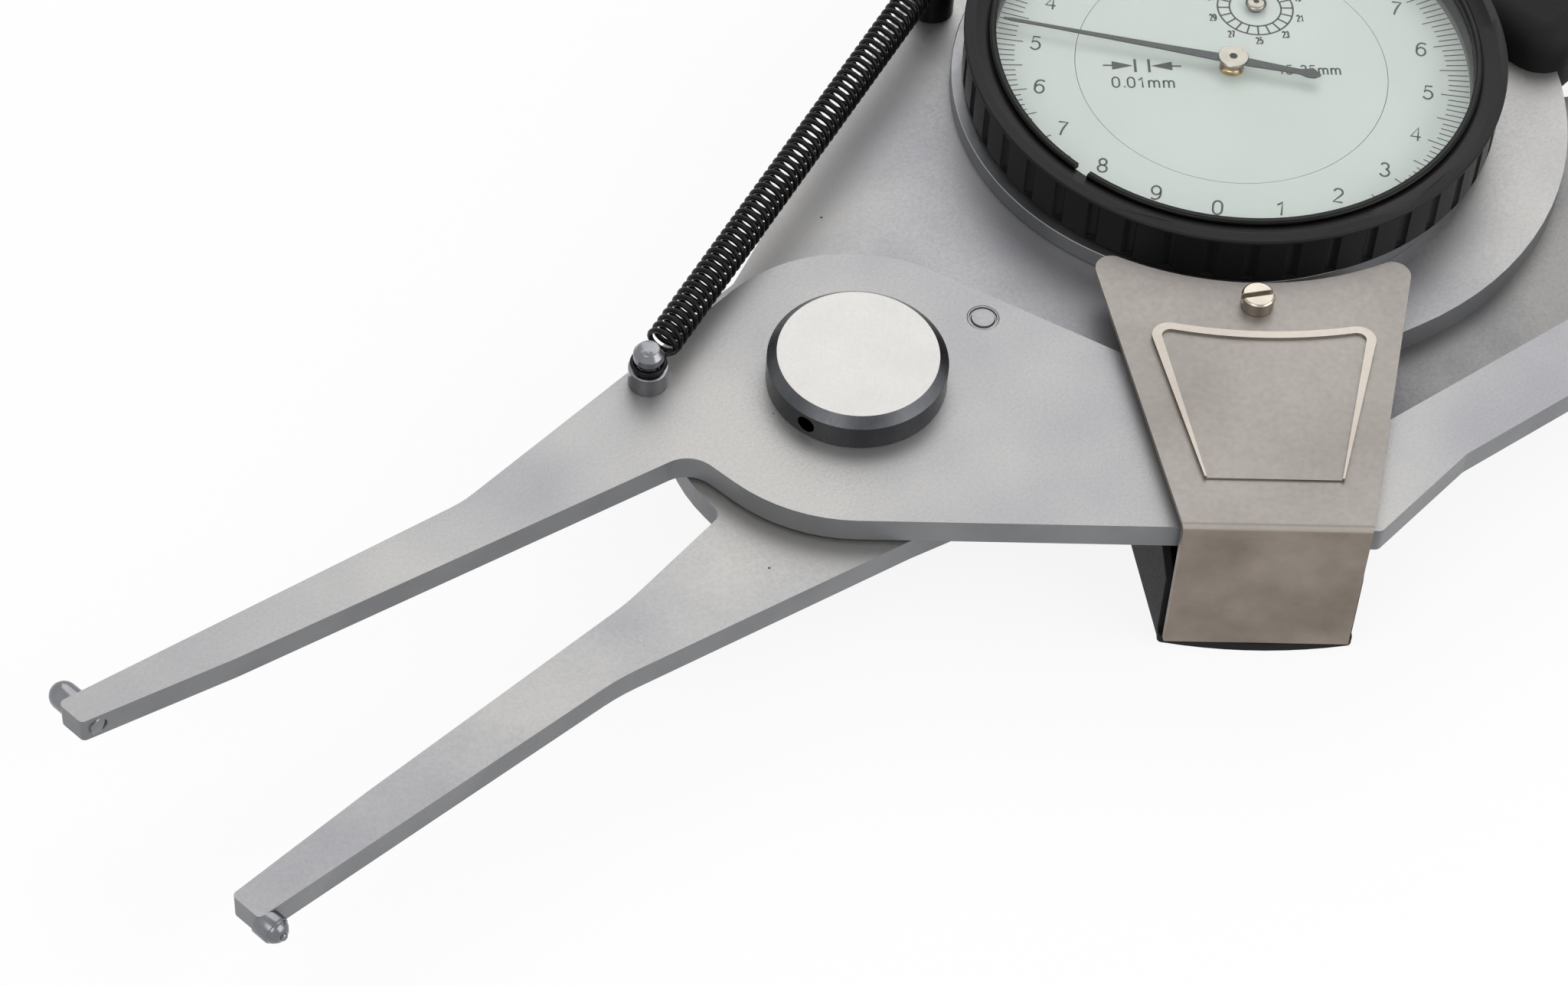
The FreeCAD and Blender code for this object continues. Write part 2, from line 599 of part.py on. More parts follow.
bodyGripScrewPlaces = [("bodyScrewAX", "tongueY"), ("bodyScrewBX", "tongueY")]
leverGripScrewPlaces = [("leverScrewA", "0"), ("leverScrewB", "0")]


def counterbore(body, places, bottom, top):
    """Sink a screw's head from below, with its shank hole up to the plate's top."""
    heads = newSketch(body, level=bottom)
    for x, y in places:
        addCircle(heads, x, y, "gripScrewHead + runningFit")
    addPocket(body, heads, "gripScrewThick", True)
    shanks = newSketch(body, level=bottom)
    for x, y in places:
        addCircle(shanks, x, y, "gripScrewRadius")
    addPocket(body, shanks, "%s - %s" % (top, bottom), True)


def onHandle(x, y):
    """A point of the handle's own frame, in the gauge's frame."""
    return ("handleX + (%s) * cos(handleTurn) - (%s) * sin(handleTurn)" % (x, y),
            "handleY + (%s) * sin(handleTurn) + (%s) * cos(handleTurn)" % (x, y))


def makeLeverGrip():
    """Moulded grip round the lever's tongue."""
    tilt = math.radians(size("handleTurn"))
    body = newBody("lever_grip", x="handleX", y="handleY", turn="handleTurn")
    start, end, tongue = [(size(value) - size("handleX")) / math.cos(tilt)
                          for value in ("leverGripStart", "leverGripEnd", "leverTongueEnd")]
    half = size("leverGripHalf")
    width = size("handleWidth") / 2
    sketch = newSketch(body, level="leverGripBottom")
    addOutline(sketch, [(start, -half, 4), (end, -half, 6), (end, half, 6), (start, half, 4)])
    addPad(body, sketch, "leverGripTop - leverGripBottom")
    roundOutline(body, "gripRound", (size("leverGripTop"), size("leverGripBottom")))
    slot = newSketch(body, level=leverBottom)
    addOutline(slot, [(start - 4, -width), (tongue, -width, 2), (tongue, width, 2),
                      (start - 4, width)])
    addPocket(body, slot, "leverThick", True)
    counterbore(body, leverGripScrewPlaces, "leverGripBottom", leverTop)


def makeBracket():
    """Bent nickel-plated sheet: top with a hollow end, a sharp fold and a raised panel."""
    thick = size("sheetThick")
    top = size("bracketTop")
    foot = size("bracketFoot")
    root = size("bezelRadius - bracketRoot")
    inner = size("boxEnd + bracketPlay")
    outer = inner + thick
    bend = size("foldRadius")
    half = size("bracketHalf")
    frontHalf = size("bracketFrontHalf")
    body = newBody("cover_bracket", turn="boxTurn")
    profile = newSketch(body, "XZ_Plane")
    addOutline(profile, [(root, top - thick), (inner, top - thick, bend - thick), (inner, foot),
                         (outer, foot), (outer, top, bend), (root, top)])
    pad = addPad(body, profile, "2 * bracketHalf + 4")
    pad.Midplane = True
    doc.recompute()
    around = newSketch(body, level="bracketTop")
    rim = 2 * half
    addOutline(around, [(0, -rim), (outer + rim, -rim), (outer + rim, rim), (0, rim)])
    addOutline(around, [(root, -half), (outer + 1, -frontHalf), (outer + 1, frontHalf), (root, half)])
    addPocket(body, around)
    hollow = newSketch(body, level="bracketTop")
    addCircle(hollow, "0", "0", "bezelRadius + arcClear")
    addPocket(body, hollow)
    ears = ["Edge%d" % number for number, edge in enumerate(body.Tip.Shape.Edges, 1)
            if edge.BoundBox.XLength < 1e-6 and edge.BoundBox.YLength < 1e-6
            and edge.BoundBox.XMax < size("bezelRadius + arcClear")]
    roundEdges(body, ears, "bracketEar")
    arc = size("bezelRadius + panelClear")
    rib = size("panelRib")
    span = math.radians(size("panelSpan"))
    reach = size("panelShoulder")
    corner = size("panelCorner")
    footU, footHalf = size("panelFootU"), size("panelFootHalf")

    def shoulder(radius, share):
        along = radius * math.cos(span) - share * reach * math.sin(span)
        across = radius * math.sin(span) + share * reach * math.cos(span)
        return along, across

    along, across = shoulder(arc, 1)
    top = [(along, -across, corner), (arc / math.cos(span), 0, arc), (along, across, corner)]
    panel = newSketch(body, level="bracketTop")
    addOutline(panel, top + [(footU, footHalf, 0.4), (footU, -footHalf, 0.4)])
    addPad(body, panel, "panelRise")
    along, across = shoulder(arc + rib, 0.5)
    ribs = newSketch(body, level="bracketTop")
    addOutline(ribs, top + [(footU, footHalf), (footU, footHalf - rib / 4),
                            (along, across, corner / 2),
                            ((arc + rib) / math.cos(span), 0, arc + rib),
                            (along, -across, corner / 2), (footU, rib / 4 - footHalf),
                            (footU, -footHalf)])
    addPad(body, ribs, "ribRise")
    drill(body, [(spacerU, "0", "bracketScrewRadius")], "bracketTop")


def makeBackCover():
    """Moulded cover: a round well under the dial and an open box for the spindle's end."""
    wall = size("coverWall")
    half = size("boxHalf")
    end = size("boxEnd")
    bulge = size("lipBulge")
    start = size("guideStart") / 2
    body = newBody("back_cover", turn="boxTurn")
    disc = newSketch(body)
    addCircle(disc, "0", "0", "coverRadius")
    addPad(body, disc, "bodyBottom")
    box = newSketch(body)
    addOutline(box, [(start, -boxSide(start)), (end, -half), (end, half), (start, boxSide(start))])
    addPad(body, box, "bodyBottom")
    well = newSketch(body, level="coverFloor")
    addCircle(well, "0", "0", "coverRadius - coverWall")
    addPocket(body, well, "bodyBottom", True)
    trough = newSketch(body, level="coverFloor")
    addOutline(trough, [(start, wall - boxSide(start)), (end + 1, wall - boxSide(end + 1)),
                        (end + 1, boxSide(end + 1) - wall), (start, boxSide(start) - wall)])
    addPocket(body, trough, "bodyBottom", True)
    floor = newSketch(body)
    addOutline(floor, [(end - 3, -half), (end + bulge, -half, 0.5),
                       (end + 3 * bulge, 0, (half ** 2 + bulge ** 2) / (2.1 * bulge)),
                       (end + bulge, half, 0.5), (end - 3, half)])
    addPad(body, floor, "coverFloor")
    corner = newSketch(body, "XZ_Plane")
    top = size("bodyBottom")
    length, depth = size("cornerCutLength"), size("cornerCutDepth")
    addOutline(corner, [(end - length, top), (end + length, top), (end + length, top - 2 * depth)])
    addPocket(body, corner)
    bosses = newSketch(body)
    for x, y in coverScrewLocal:
        addCircle(bosses, x, y, "coverBoss")
    addPad(body, bosses, "bodyBottom")
    heads = newSketch(body)
    for x, y in coverScrewLocal:
        addCircle(heads, x, y, "coverScrewHead + runningFit")
    addPocket(body, heads, "coverScrewThick", True)
    drill(body, [place + ("coverScrewRadius",) for place in coverScrewLocal], "0")


coverScrewRing = "(coverRadius - coverWall - coverScrewInset)"
coverScrewTurns = ["coverATurn", "coverBTurn", "coverCTurn", "coverDTurn"]
coverScrewPlaces = [polar(coverScrewRing, turn) for turn in coverScrewTurns]
coverScrewLocal = [polar(coverScrewRing, "(%s - boxTurn)" % turn) for turn in coverScrewTurns]


def makeDial():
    under = "dialFace - dialThick"
    inner = caseNeck + " - caseWall"
    hub = "bodyWindow + caseHubWall"
    case = turned("case_body", [
        ("bodyWindow + caseGap", bodyTop), (caseRadius + " - caseSkirt", bodyTop),
        (caseRadius + " - caseSkirt", caseTop), (caseNeck, caseTop),
        (caseNeck, under + " - dialPlay"), (inner, under + " - dialPlay"),
        (inner, bodyTop + " + caseFloor"), (hub, bodyTop + " + caseFloor"), (hub, under),
        ("bodyWindow + caseGap", under)])
    ring = newSketch(case, level=bodyTop)
    addCircle(ring, "caseShiftX", "caseShiftY", caseRadius)
    addCircle(ring, "0", "0", caseRadius + " - caseSkirt - 0.2")
    addPad(case, ring, "caseThick")
    disc = turned("dial_disc", [
        ("arborRadius + arborPlay", under), ("discRadius", under), ("discRadius", "dialFace"),
        ("arborRadius + arborPlay", "dialFace")])
    drill(disc, [boxPoint("counterU", "counterV") + ("arborRadius + arborPlay",)], "dialFace")
    turned("dial_scale_ring", [
        ("discRadius + scaleGap", under), (ringRadius, under), (ringRadius, "dialFace"),
        ("discRadius + scaleGap", "dialFace")])
    foot = caseTop + " + bezelLift"
    seat = "glassSeat + glassThick + glassPlay"
    wall = "bezelRadius - lipProud"
    bezel = turned("bezel", [
        (caseNeck + " + neckPlay", foot), (wall + " - footEdge", foot),
        (wall, foot + " + footEdge"), (wall, "bezelTop - lipHeight - lipEdge"),
        ("bezelRadius", "bezelTop - lipHeight"), ("bezelRadius", "bezelTop - lipEdge"),
        ("bezelRadius - lipEdge", "bezelTop"), (bezelLip, "bezelTop"), (bezelLip, seat),
        (bezelLip + " - bezelStep", seat), (bezelLip + " - bezelStep", under),
        (caseNeck + " + neckPlay", under)])
    grooveBezel(bezel, foot + " + grooveFoot", wall)
    turned("crystal_seat_ring", [
        (ringRadius + " - seatRingWall", "dialFace"), (ringRadius, "dialFace"),
        (ringRadius, "glassSeat"), (ringRadius + " - seatRingWall", "glassSeat")])
    turned("crystal", [
        ("0", "glassSeat"), (ringRadius, "glassSeat"), (ringRadius, "glassSeat + glassThick"),
        ("0", "glassSeat + glassThick")])


def grooveBezel(body, bottom, wall):
    """Finger grooves round the bezel's wall, from below its lip to near its foot."""
    groove = newSketch(body, level=bottom)
    addCircle(groove, wall + " + grooveRadius - grooveDepth", "0", "grooveRadius")
    height = "bezelTop - lipHeight - lipEdge - (%s)" % bottom
    pocket = addPocket(body, groove, height, True)
    pattern = body.newObject("PartDesign::PolarPattern", "bezelGrooves")
    pattern.Originals = [pocket]
    pattern.Axis = (groove, ["N_Axis"])
    pattern.Angle = 360
    pattern.setExpression("Occurrences", bound("grooveCount"))
    body.Tip = pattern
    doc.recompute()


def makeSnapRing():
    """A spring ring with a gap, in the bezel's groove above the crystal."""
    body = newBody("retaining_ring", turn="snapTurn")
    sketch = newSketch(body, level="glassSeat + glassThick + glassPlay")
    outer = size(bezelLip + " - ringFit")
    inner = outer - size("snapWidth")
    gap = math.radians(size("snapGap")) / 2
    for radius in (inner, outer):
        circle = Part.Circle(FreeCAD.Vector(), FreeCAD.Vector(0, 0, 1), radius)
        sketch.addGeometry(Part.ArcOfCircle(circle, gap, 2 * math.pi - gap), False)
    for angle in (gap, 2 * math.pi - gap):
        start = FreeCAD.Vector(inner * math.cos(angle), inner * math.sin(angle), 0)
        end = FreeCAD.Vector(outer * math.cos(angle), outer * math.sin(angle), 0)
        sketch.addGeometry(Part.LineSegment(start, end), False)
    addPad(body, sketch, "snapThick")


def makePivot():
    bore = "studRadius + runningFit"
    knobTop = knobBottom + " + knobHeight"
    studTop = knobTop + " - knobRoof - knobLift"
    turned("pivot_stud", [
        ("0", "bodyBottom - studHeadThick"), ("studHeadRadius", "bodyBottom - studHeadThick"),
        ("studHeadRadius", "bodyBottom"), ("studRadius", "bodyBottom"),
        ("studRadius", knobBottom), ("knobBore", knobBottom), ("knobBore", studTop),
        ("0", studTop)], x="pivotX")
    turned("pivot_washer", [
        (bore, bodyTop), ("washerRadius", bodyTop), ("washerRadius", leverBottom),
        (bore, leverBottom)], x="pivotX")
    turned("lever_bush", [
        (bore, leverBottom), ("bushRadius", leverBottom), ("bushRadius", leverTop),
        (bore, leverTop)], x="pivotX")
    knob = turned("pivot_knob", [
        ("knobBore", knobBottom), ("knobRadius", knobBottom),
        ("knobRadius", knobTop + " - knobChamfer"), ("knobRadius - knobChamfer", knobTop),
        ("0", knobTop), ("0", knobTop + " - knobRoof"), ("knobBore", knobTop + " - knobRoof")],
        x="pivotX", turn="spannerTurn")
    spanner = newSketch(knob, "YZ_Plane", "-knobRadius")
    addCircle(spanner, "0", knobBottom + " + (knobHeight - knobChamfer) / 2", "spannerHole")
    addPocket(knob, spanner, "spannerDepth", True)


def makeLeverPins():
    turned("stop_pin", [
        ("0", "bodyBottom + stopPinFoot"), ("stopPinRadius", "bodyBottom + stopPinFoot"),
        ("stopPinRadius", leverTop), ("0", leverTop)],
        x="pivotX + stopPinReach * cos(stopPinTurn)", y="stopPinReach * sin(stopPinTurn)")
    pin = boxPoint(drivePinU, "drivePinV")
    turned("drive_pin", [
        ("0", "drivePinFoot"), ("drivePinRadius", "drivePinFoot"),
        ("drivePinRadius", leverTop), ("0", leverTop)], x=pin[0], y=pin[1])


def makePosts():
    turned("spring_post_a", [
        ("0", leverBottom), ("postShank", leverBottom), ("postShank", leverTop), ("2.08", leverTop),
        ("2.08", leverTop + " + 2.4"), ("1.1", leverTop + " + 2.7"), ("1.1", leverTop + " + 3.3"),
        ("1.6", leverTop + " + 3.7"), ("1.6", leverTop + " + 4.5"), ("1.1", leverTop + " + 5.2"),
        ("0", leverTop + " + 5.5")], x="postAX", y="postAY")
    turned("spring_post_b", [
        ("0", "bodyBottom"), ("postShank", "bodyBottom"), ("postShank", bodyTop), ("2.4", bodyTop),
        ("2.4", bodyTop + " + 5.8"), ("1.3", bodyTop + " + 6.1"), ("1.3", bodyTop + " + 6.9"),
        ("2.0", bodyTop + " + 7.3"), ("2.0", bodyTop + " + 8.0"), ("1.2", bodyTop + " + 8.6"),
        ("0", bodyTop + " + 8.6")], x=postB[0], y=postB[1])


def makeContactPins():
    """Turned contact pins that cross the arms' tips, with ball ends."""
    for label, shank, seat, way, level in (
            ("contact_pin_a", "pinShankA", "pinSeatA", "-90", leverBottom + " + leverThick / 2"),
            ("contact_pin_b", "pinShankB", "pinSeatB", "90", "bodyBottom + bodyThick / 2")):
        place = shank[-1]
        turned(label, [
            ("0", "0"), ("pinCollar / 3", "-pinCollar / 12"), ("pinCollar * 0.63", "-pinCollar / 3"),
            ("pinCollar * 0.8", "-pinCollar * 0.8"), ("pinCollar * 0.7", "-pinCollar * 1.1"),
            ("pinCollar", "-pinCollar * 1.4"), ("pinCollar", "-" + seat), (shank, "-" + seat),
            (shank, "-pinReach"), ("0", "-pinReach")],
            x="pin%sX" % place, y="pin%sY" % place, z=level, turn=way, axis=(1, 0, 0))


def gearBody(label, corners, level, thickness, x="0", y="0", turn="boxTurn"):
    body = newBody(label, x=x, y=y, turn=turn)
    sketch = newSketch(body, level=level)
    addOutline(sketch, corners)
    addPad(body, sketch, thickness)
    return body


def addDisc(body, radius, level, thickness, x="0", y="0"):
    sketch = newSketch(body, level=level)
    addCircle(sketch, x, y, radius)
    addPad(body, sketch, thickness)


pillarRing = "(%s - pillarInset)" % plateRadius
pillarTurns = ["pillarBTurn", "pillarCTurn", "pillarDTurn"]
springV = "(spindleV + springPinReach - returnWire)"
springPillar = ("sqrt(%s ^ 2 - %s ^ 2)" % (pillarRing, springV), springV)
pillarPlaces = [boxPoint(*springPillar)]
pillarPlaces += [polar(pillarRing, "(boxTurn + %s)" % turn) for turn in pillarTurns]
pillarLocal = [springPillar] + [polar(pillarRing, turn) for turn in pillarTurns]


def pillar(name, x, y):
    """A shouldered pillar whose ends pass through both movement plates."""
    shoulder = cylinder(name + "Body", "pillarRadius", "upperPlateZ - lowerPlateZ - plateThick",
                        x=x, y=y, z="lowerPlateZ + plateThick")
    stud = cylinder(name + "Stud", "pillarStud", "bodyBottom - lowerPlateZ + bodyThick / 2",
                    x=x, y=y, z="lowerPlateZ")
    whole = doc.addObject("Part::Fuse", name)
    whole.Base = shoulder
    whole.Tool = stud
    return whole


def makeMovementFrame():
    holes = [("0", "0", "arborRadius + runningFit"), ("counterU", "counterV", "arborRadius + runningFit")]
    studs = [place + ("pillarStud",) for place in pillarLocal]
    for label, level in (("lower_movement_plate", "lowerPlateZ"), ("upper_movement_plate", "upperPlateZ")):
        body = newBody(label, turn="boxTurn")
        addDisc(body, plateRadius, level, "plateThick")
        drill(body, holes + studs, level)
    joined("movement_pillars", [pillar("movementPillar%d" % number, x, y)
                                for number, (x, y) in enumerate(pillarPlaces)])
    joined("movement_nuts", [cylinder("pillarNut%d" % number, "nutRadius", "nutThick", x=x, y=y,
                                      z="lowerPlateZ - nutThick")
                             for number, (x, y) in enumerate(pillarPlaces)])
    front = plateRadius + " - frontBushInset"
    for label, start in (("front_spindle_bush", front),
                         ("rear_spindle_bush", front + " - bushSpread")):
        body = newBody(label, turn="boxTurn")
        block = newSketch(body, level="lowerPlateZ + plateThick")
        along = size(start)
        across = size("spindleV")
        half = size("bushHalf")
        end = along + size("bushLength")
        addOutline(block, [(along, across - half), (end, across - half), (end, across + half),
                           (along, across + half)])
        addPad(body, block, "spindleZ + spindleRadius + 0.9 - lowerPlateZ - plateThick")
        bore = newSketch(body, "YZ_Plane")
        addCircle(bore, "spindleV", "spindleZ", "spindleRadius + runningFit")
        addPocket(body, bore)


def makeGears():
    counter = boxPoint("counterU", "counterV")
    module = size("wheelModule")
    wheelPitch = size("wheelModule * wheelTeeth / 2")
    centrePitch = size("wheelModule * centreTeeth / 2")
    facing = math.degrees(math.atan2(size("counterV"), size("counterU")))
    wheel = gearBody("counter_wheel", gearCorners(int(size("wheelTeeth")), wheelPitch - 0.95 * module,
                     wheelPitch + 0.6 * module), "wheelZ", "wheelThick",
                     counter[0], counter[1], "boxTurn + 180 + %f" % facing)
    drill(wheel, [("0", "0", "arborRadius + 0.4")], "wheelZ")
    centre = gearBody("centre_pinion", gearCorners(int(size("centreTeeth")), centrePitch - 1.15 * module,
                      centrePitch + 0.6 * module, 0.6, 0.2, phase=0.5), "wheelZ - 0.1",
                      "wheelThick + 0.2", turn="boxTurn + %f" % facing)
    addDisc(centre, "arborRadius", "lowerPlateZ", "handZ + handThick - lowerPlateZ")
    pitch = size("rackPitchRadius")
    tooth = 2 * pitch / size("rackTeeth")
    rack = gearBody("rack_pinion", gearCorners(int(size("rackTeeth")), pitch - 1.25 * tooth,
                    pitch + 0.65 * tooth, 0.6, 0.22), "spindleZ - 1", "2",
                    counter[0], counter[1], "boxTurn + 90")
    addDisc(rack, "arborRadius", "lowerPlateZ", "counterHandZ + handThick - lowerPlateZ")
    addDisc(rack, "arborRadius + 0.4", "spindleZ + 1", "wheelZ + wheelThick - spindleZ - 1")


def makeSpindle():
    """The toothed spindle: a round rod with a milled rack facing the small pinion."""
    body = newBody("rack_spindle", turn="boxTurn")
    turn = math.radians(size("boxTurn"))
    radius = size("spindleRadius")
    across = size("spindleV")
    rod = newSketch(body, "YZ_Plane", "spindleRear")
    addCircle(rod, "spindleV", "spindleZ", "spindleRadius")
    addPad(body, rod, spindleEnd + " - spindleRear")
    pitchLine = size("counterV + rackPitchRadius")
    tooth = 2 * size("rackPitchRadius") / size("rackTeeth")
    step = math.pi * tooth
    first = size("counterU - 2.6")
    last = size("counterU + rackTravel + 2.2")
    count = int((last - first) / step)
    teeth = newSketch(body, level="spindleZ - 2")
    root = pitchLine + 1.05 * tooth
    tip = pitchLine - 0.65 * tooth
    start = size("counterU") + step / 2 - math.floor((size("counterU") - first) / step) * step
    corners = [(first - 0.4, across - radius - 0.5), (first - 0.4, root)]
    for number in range(count):
        middle = start + number * step - step / 2 + step / 2
        corners += [(middle - 0.28 * step, root), (middle - 0.1 * step, tip),
                    (middle + 0.1 * step, tip), (middle + 0.28 * step, root)]
    corners += [(last + 0.4, root), (last + 0.4, across - radius - 0.5)]
    addOutline(teeth, corners)
    addPocket(body, teeth, "4", True)
    crossBore(body, "springPinU", "spindleZ", "springPinRadius")
    turned("spindle_anvil", [
        ("0", "0"), ("anvilRadius", "0"), ("anvilRadius", "anvilThick - 0.3"),
        ("anvilRadius - 0.3", "anvilThick"), ("0", "anvilThick")],
        *boxPoint(spindleEnd, "spindleV"), z="spindleZ", turn="90",
        axis=(-math.sin(turn), math.cos(turn), 0))
    turned("spindle_pin", [
        ("0", "runningFit - spindleRadius"), ("springPinRadius", "runningFit - spindleRadius"),
        ("springPinRadius", "springPinReach"), ("0", "springPinReach")],
        *boxPoint("springPinU", "spindleV"), z="spindleZ", turn="-90",
        axis=(math.cos(turn), math.sin(turn), 0))


def handBody(label, corners, level, x, y, turn, boss):
    body = newBody(label, x=x, y=y, turn=turn)
    sketch = newSketch(body, level=level)
    addOutline(sketch, corners)
    addPad(body, sketch, "handThick")
    disc = newSketch(body, level=level)
    addCircle(disc, "0", "0", boss)
    addPad(body, disc, "handThick")
    drill(body, [("0", "0", "arborRadius")], level)


def mirrored(corners):
    """The same corners on the other side of the hand's length, in turning order."""
    return [(corner[0], -corner[1]) + tuple(corner[2:]) for corner in reversed(corners)]


def makeHands():
    tip = size(ringRadius + " - seatRingWall - handClear")
    tail, hub = -size("handTail"), size("handRoot / 1.4")
    waist, root, point = size("handWaist / 2"), size("handRoot / 2"), size("handPointWidth / 2")
    spade, spadeEnd, wide = size("spadeTip"), size("spadeLength"), size("spadeWidth / 2")
    neck = tip - size("handPoint")
    upper = [(hub, root), (-hub, waist), (tail + spadeEnd, waist - 0.1),
             (tail + spadeEnd - 1.0, wide, 0.3), (tail + spade, wide / 2), (tail, 0)]
    handBody("main_hand", [(tip, 0), (neck, point)] + upper + mirrored(upper[:-1])
             + [(neck, -point)], "handZ", "0", "0", "handTurn", "hubRadius - 0.1")
    turned("hand_hub", [
        ("arborRadius + 0.02", "dialFace + 0.25"), ("1.3", "dialFace + 0.25"), ("1.3", "handZ"),
        ("arborRadius + 0.02", "handZ")])
    turned("hand_cap", [
        ("0", "handZ + handThick"), ("hubRadius", "handZ + handThick"),
        ("hubRadius", "handZ + handThick + 0.25"), ("hubRadius - 0.25", "handZ + handThick + 0.5"),
        ("0.6", "handZ + handThick + 0.5"), ("0.6", "handZ + handThick + 0.3"),
        ("0", "handZ + handThick + 0.3")])
    x, y = boxPoint("counterU", "counterV")
    end, half = size("counterTip"), size("counterWidth / 2")
    neck, back = end - size("counterPoint"), -size("counterTail")
    handBody("counter_hand", [(back, -half), (neck, -0.56 * half), (end, 0), (neck, 0.56 * half),
                              (back, half)], "counterHandZ", x, y, "counterHandTurn", "counterBoss")
    turned("counter_cap", [
        ("0", "counterHandZ + handThick"), ("1.17", "counterHandZ + handThick"),
        ("1.17", "counterHandZ + handThick + 0.15"), ("0.9", "counterHandZ + handThick + 0.3"),
        ("0", "counterHandZ + handThick + 0.3")], x, y)


def makeCoil(label, start, end, level, radius, wire, turns, hooks):
    """A close-wound extension spring as a ribbed tube, with a ring on a post at each end."""
    startPoint = FreeCAD.Vector(size(start[0]), size(start[1]), size(level))
    endPoint = FreeCAD.Vector(size(end[0]), size(end[1]), size(level))
    along = endPoint - startPoint
    length = along.Length
    first, last = hooks[0][1], length - hooks[1][1]
    step = (last - first) / turns
    corners = [FreeCAD.Vector(radius - wire, 0, first)]
    for turn in range(turns):
        corners.append(FreeCAD.Vector(radius - 0.45 * wire, 0, first + turn * step))
        corners.append(FreeCAD.Vector(radius, 0, first + (turn + 0.5) * step))
    corners.append(FreeCAD.Vector(radius - 0.45 * wire, 0, last))
    corners.append(FreeCAD.Vector(radius - wire, 0, last))
    profile = Part.Face(Part.makePolygon(corners + corners[:1]))
    coil = profile.revolve(FreeCAD.Vector(), FreeCAD.Vector(0, 0, 1), 360)
    side = radius - wire / 2
    for place, inward, (hook, gap, axis) in ((0, 1, hooks[0]), (length, -1, hooks[1])):
        bore = place + inward * (hook + wire / 2)
        ring = Part.makeTorus(hook + wire / 2, wire / 2, FreeCAD.Vector(0, 0, place),
                              FreeCAD.Vector(*axis))
        tail = Part.makeCylinder(wire * 0.45, side, FreeCAD.Vector(0, 0, bore),
                                 FreeCAD.Vector(0, 1, 0))
        foot = Part.makeCylinder(wire * 0.4, gap - hook, FreeCAD.Vector(0, side, bore),
                                 FreeCAD.Vector(0, 0, inward))
        knee = Part.makeSphere(wire * 0.47, FreeCAD.Vector(0, side, bore))
        coil = coil.fuse([ring, tail, foot, knee])
    feature = doc.addObject("Part::Feature", label)
    feature.Label = label
    feature.Shape = coil
    up = FreeCAD.Vector(0, 0, 1)
    tip = FreeCAD.Rotation(up, along.cross(up), along, "ZXY")
    feature.Placement = FreeCAD.Placement(startPoint, tip)


def makeSprings():
    """The arms' spring between its posts, and the spindle's spring from its pin to a pillar."""
    flat, upright = (1, 0, 0), (0, 1, 0)
    onPost = (size("hookRadius"), size("springStart"), flat)
    makeCoil("return_spring", ("postAX", "postAY"), postB, "springZ", size("springRadius"),
             size("springWire"), int(size("springTurns")), (onPost, onPost))
    pinEnd = boxPoint("springPinU", springV)
    onPin = (size("returnHook"), size("returnHook + 2 * returnWire"), upright)
    onPillar = (size("pillarRadius + ringFit"), size("returnStart"), flat)
    makeCoil("spindle_spring", pinEnd, pillarPlaces[0], "spindleZ", size("returnRadius"),
             size("returnWire"), int(size("returnTurns")), (onPin, onPillar))


def makeScrews():
    x, y = boxPoint(spacerU, "0")
    under = "bracketTop - sheetThick"
    turned("bracket_spacer", [
        ("bracketScrewRadius + runningFit", bodyTop), ("spacerRadius", bodyTop),
        ("spacerRadius", under), ("bracketScrewRadius + runningFit", under)], x, y)
    head = "bracketTop + bracketScrewThick"
    screw = turned("bracket_screw", [
        ("0", "bodyBottom"), ("bracketScrewRadius", "bodyBottom"),
        ("bracketScrewRadius", "bracketTop"), ("bracketScrewHead", "bracketTop"),
        ("bracketScrewHead", head + " - 0.2"), ("bracketScrewHead - 0.2", head), ("0", head)],
        x, y, turn="boxTurn + bracketScrewTurn")
    slot = newSketch(screw, level=head)
    addOutline(slot, [(-0.28, -2), (0.28, -2), (0.28, 2), (-0.28, 2)])
    addPocket(screw, slot, "bracketScrewThick / 2", False)
    screwSet("guide_screws", guideScrewPlaces, "guideScrewHead", guideBottom + " - guideScrewThick",
             "guideScrewThick", "guideScrewRadius", guideBottom, bodyTop + " - guideScrewEnd")
    screwSet("back_cover_screws", coverScrewPlaces, "coverScrewHead", "0", "coverScrewThick",
             "coverScrewRadius", "coverScrewThick / 2", "bodyBottom + coverScrewReach")
    screwSet("body_grip_screws", bodyGripScrewPlaces, "gripScrewHead", "bodyGripBottom",
             "gripScrewThick", "gripScrewRadius", "bodyGripBottom + gripScrewThick / 2", bodyTop)
    screwSet("lever_grip_screws", [onHandle(x, y) for x, y in leverGripScrewPlaces],
             "gripScrewHead", "leverGripBottom", "gripScrewThick", "gripScrewRadius",
             "leverGripBottom + gripScrewThick / 2", leverTop)


def partFor(label):
    return [item for item in doc.Objects if item.Label == label][0]


nodes = [
    "body_plate", "guide_plate", "body_grip", "body_grip_screws", "guide_screws", "contact_pin_b",
    "spring_post_b", "cover_bracket", "bracket_screw", "bracket_spacer", "back_cover",
    "back_cover_screws", "case_body", "dial_disc", "pivot_stud", "pivot_washer", "pivot_knob",
    "lower_movement_plate", "upper_movement_plate", "movement_pillars", "movement_nuts",
    "front_spindle_bush", "rear_spindle_bush", "spindle_spring", "return_spring", "lever_plate", "lever_bush",
    "stop_pin", "drive_pin", "contact_pin_a", "spring_post_a", "lever_grip", "lever_grip_screws",
    "bezel", "dial_scale_ring", "crystal_seat_ring", "crystal", "retaining_ring", "main_hand",
    "hand_hub", "hand_cap", "centre_pinion", "counter_hand", "counter_cap", "counter_wheel",
    "rack_pinion", "rack_spindle", "spindle_anvil", "spindle_pin",
]

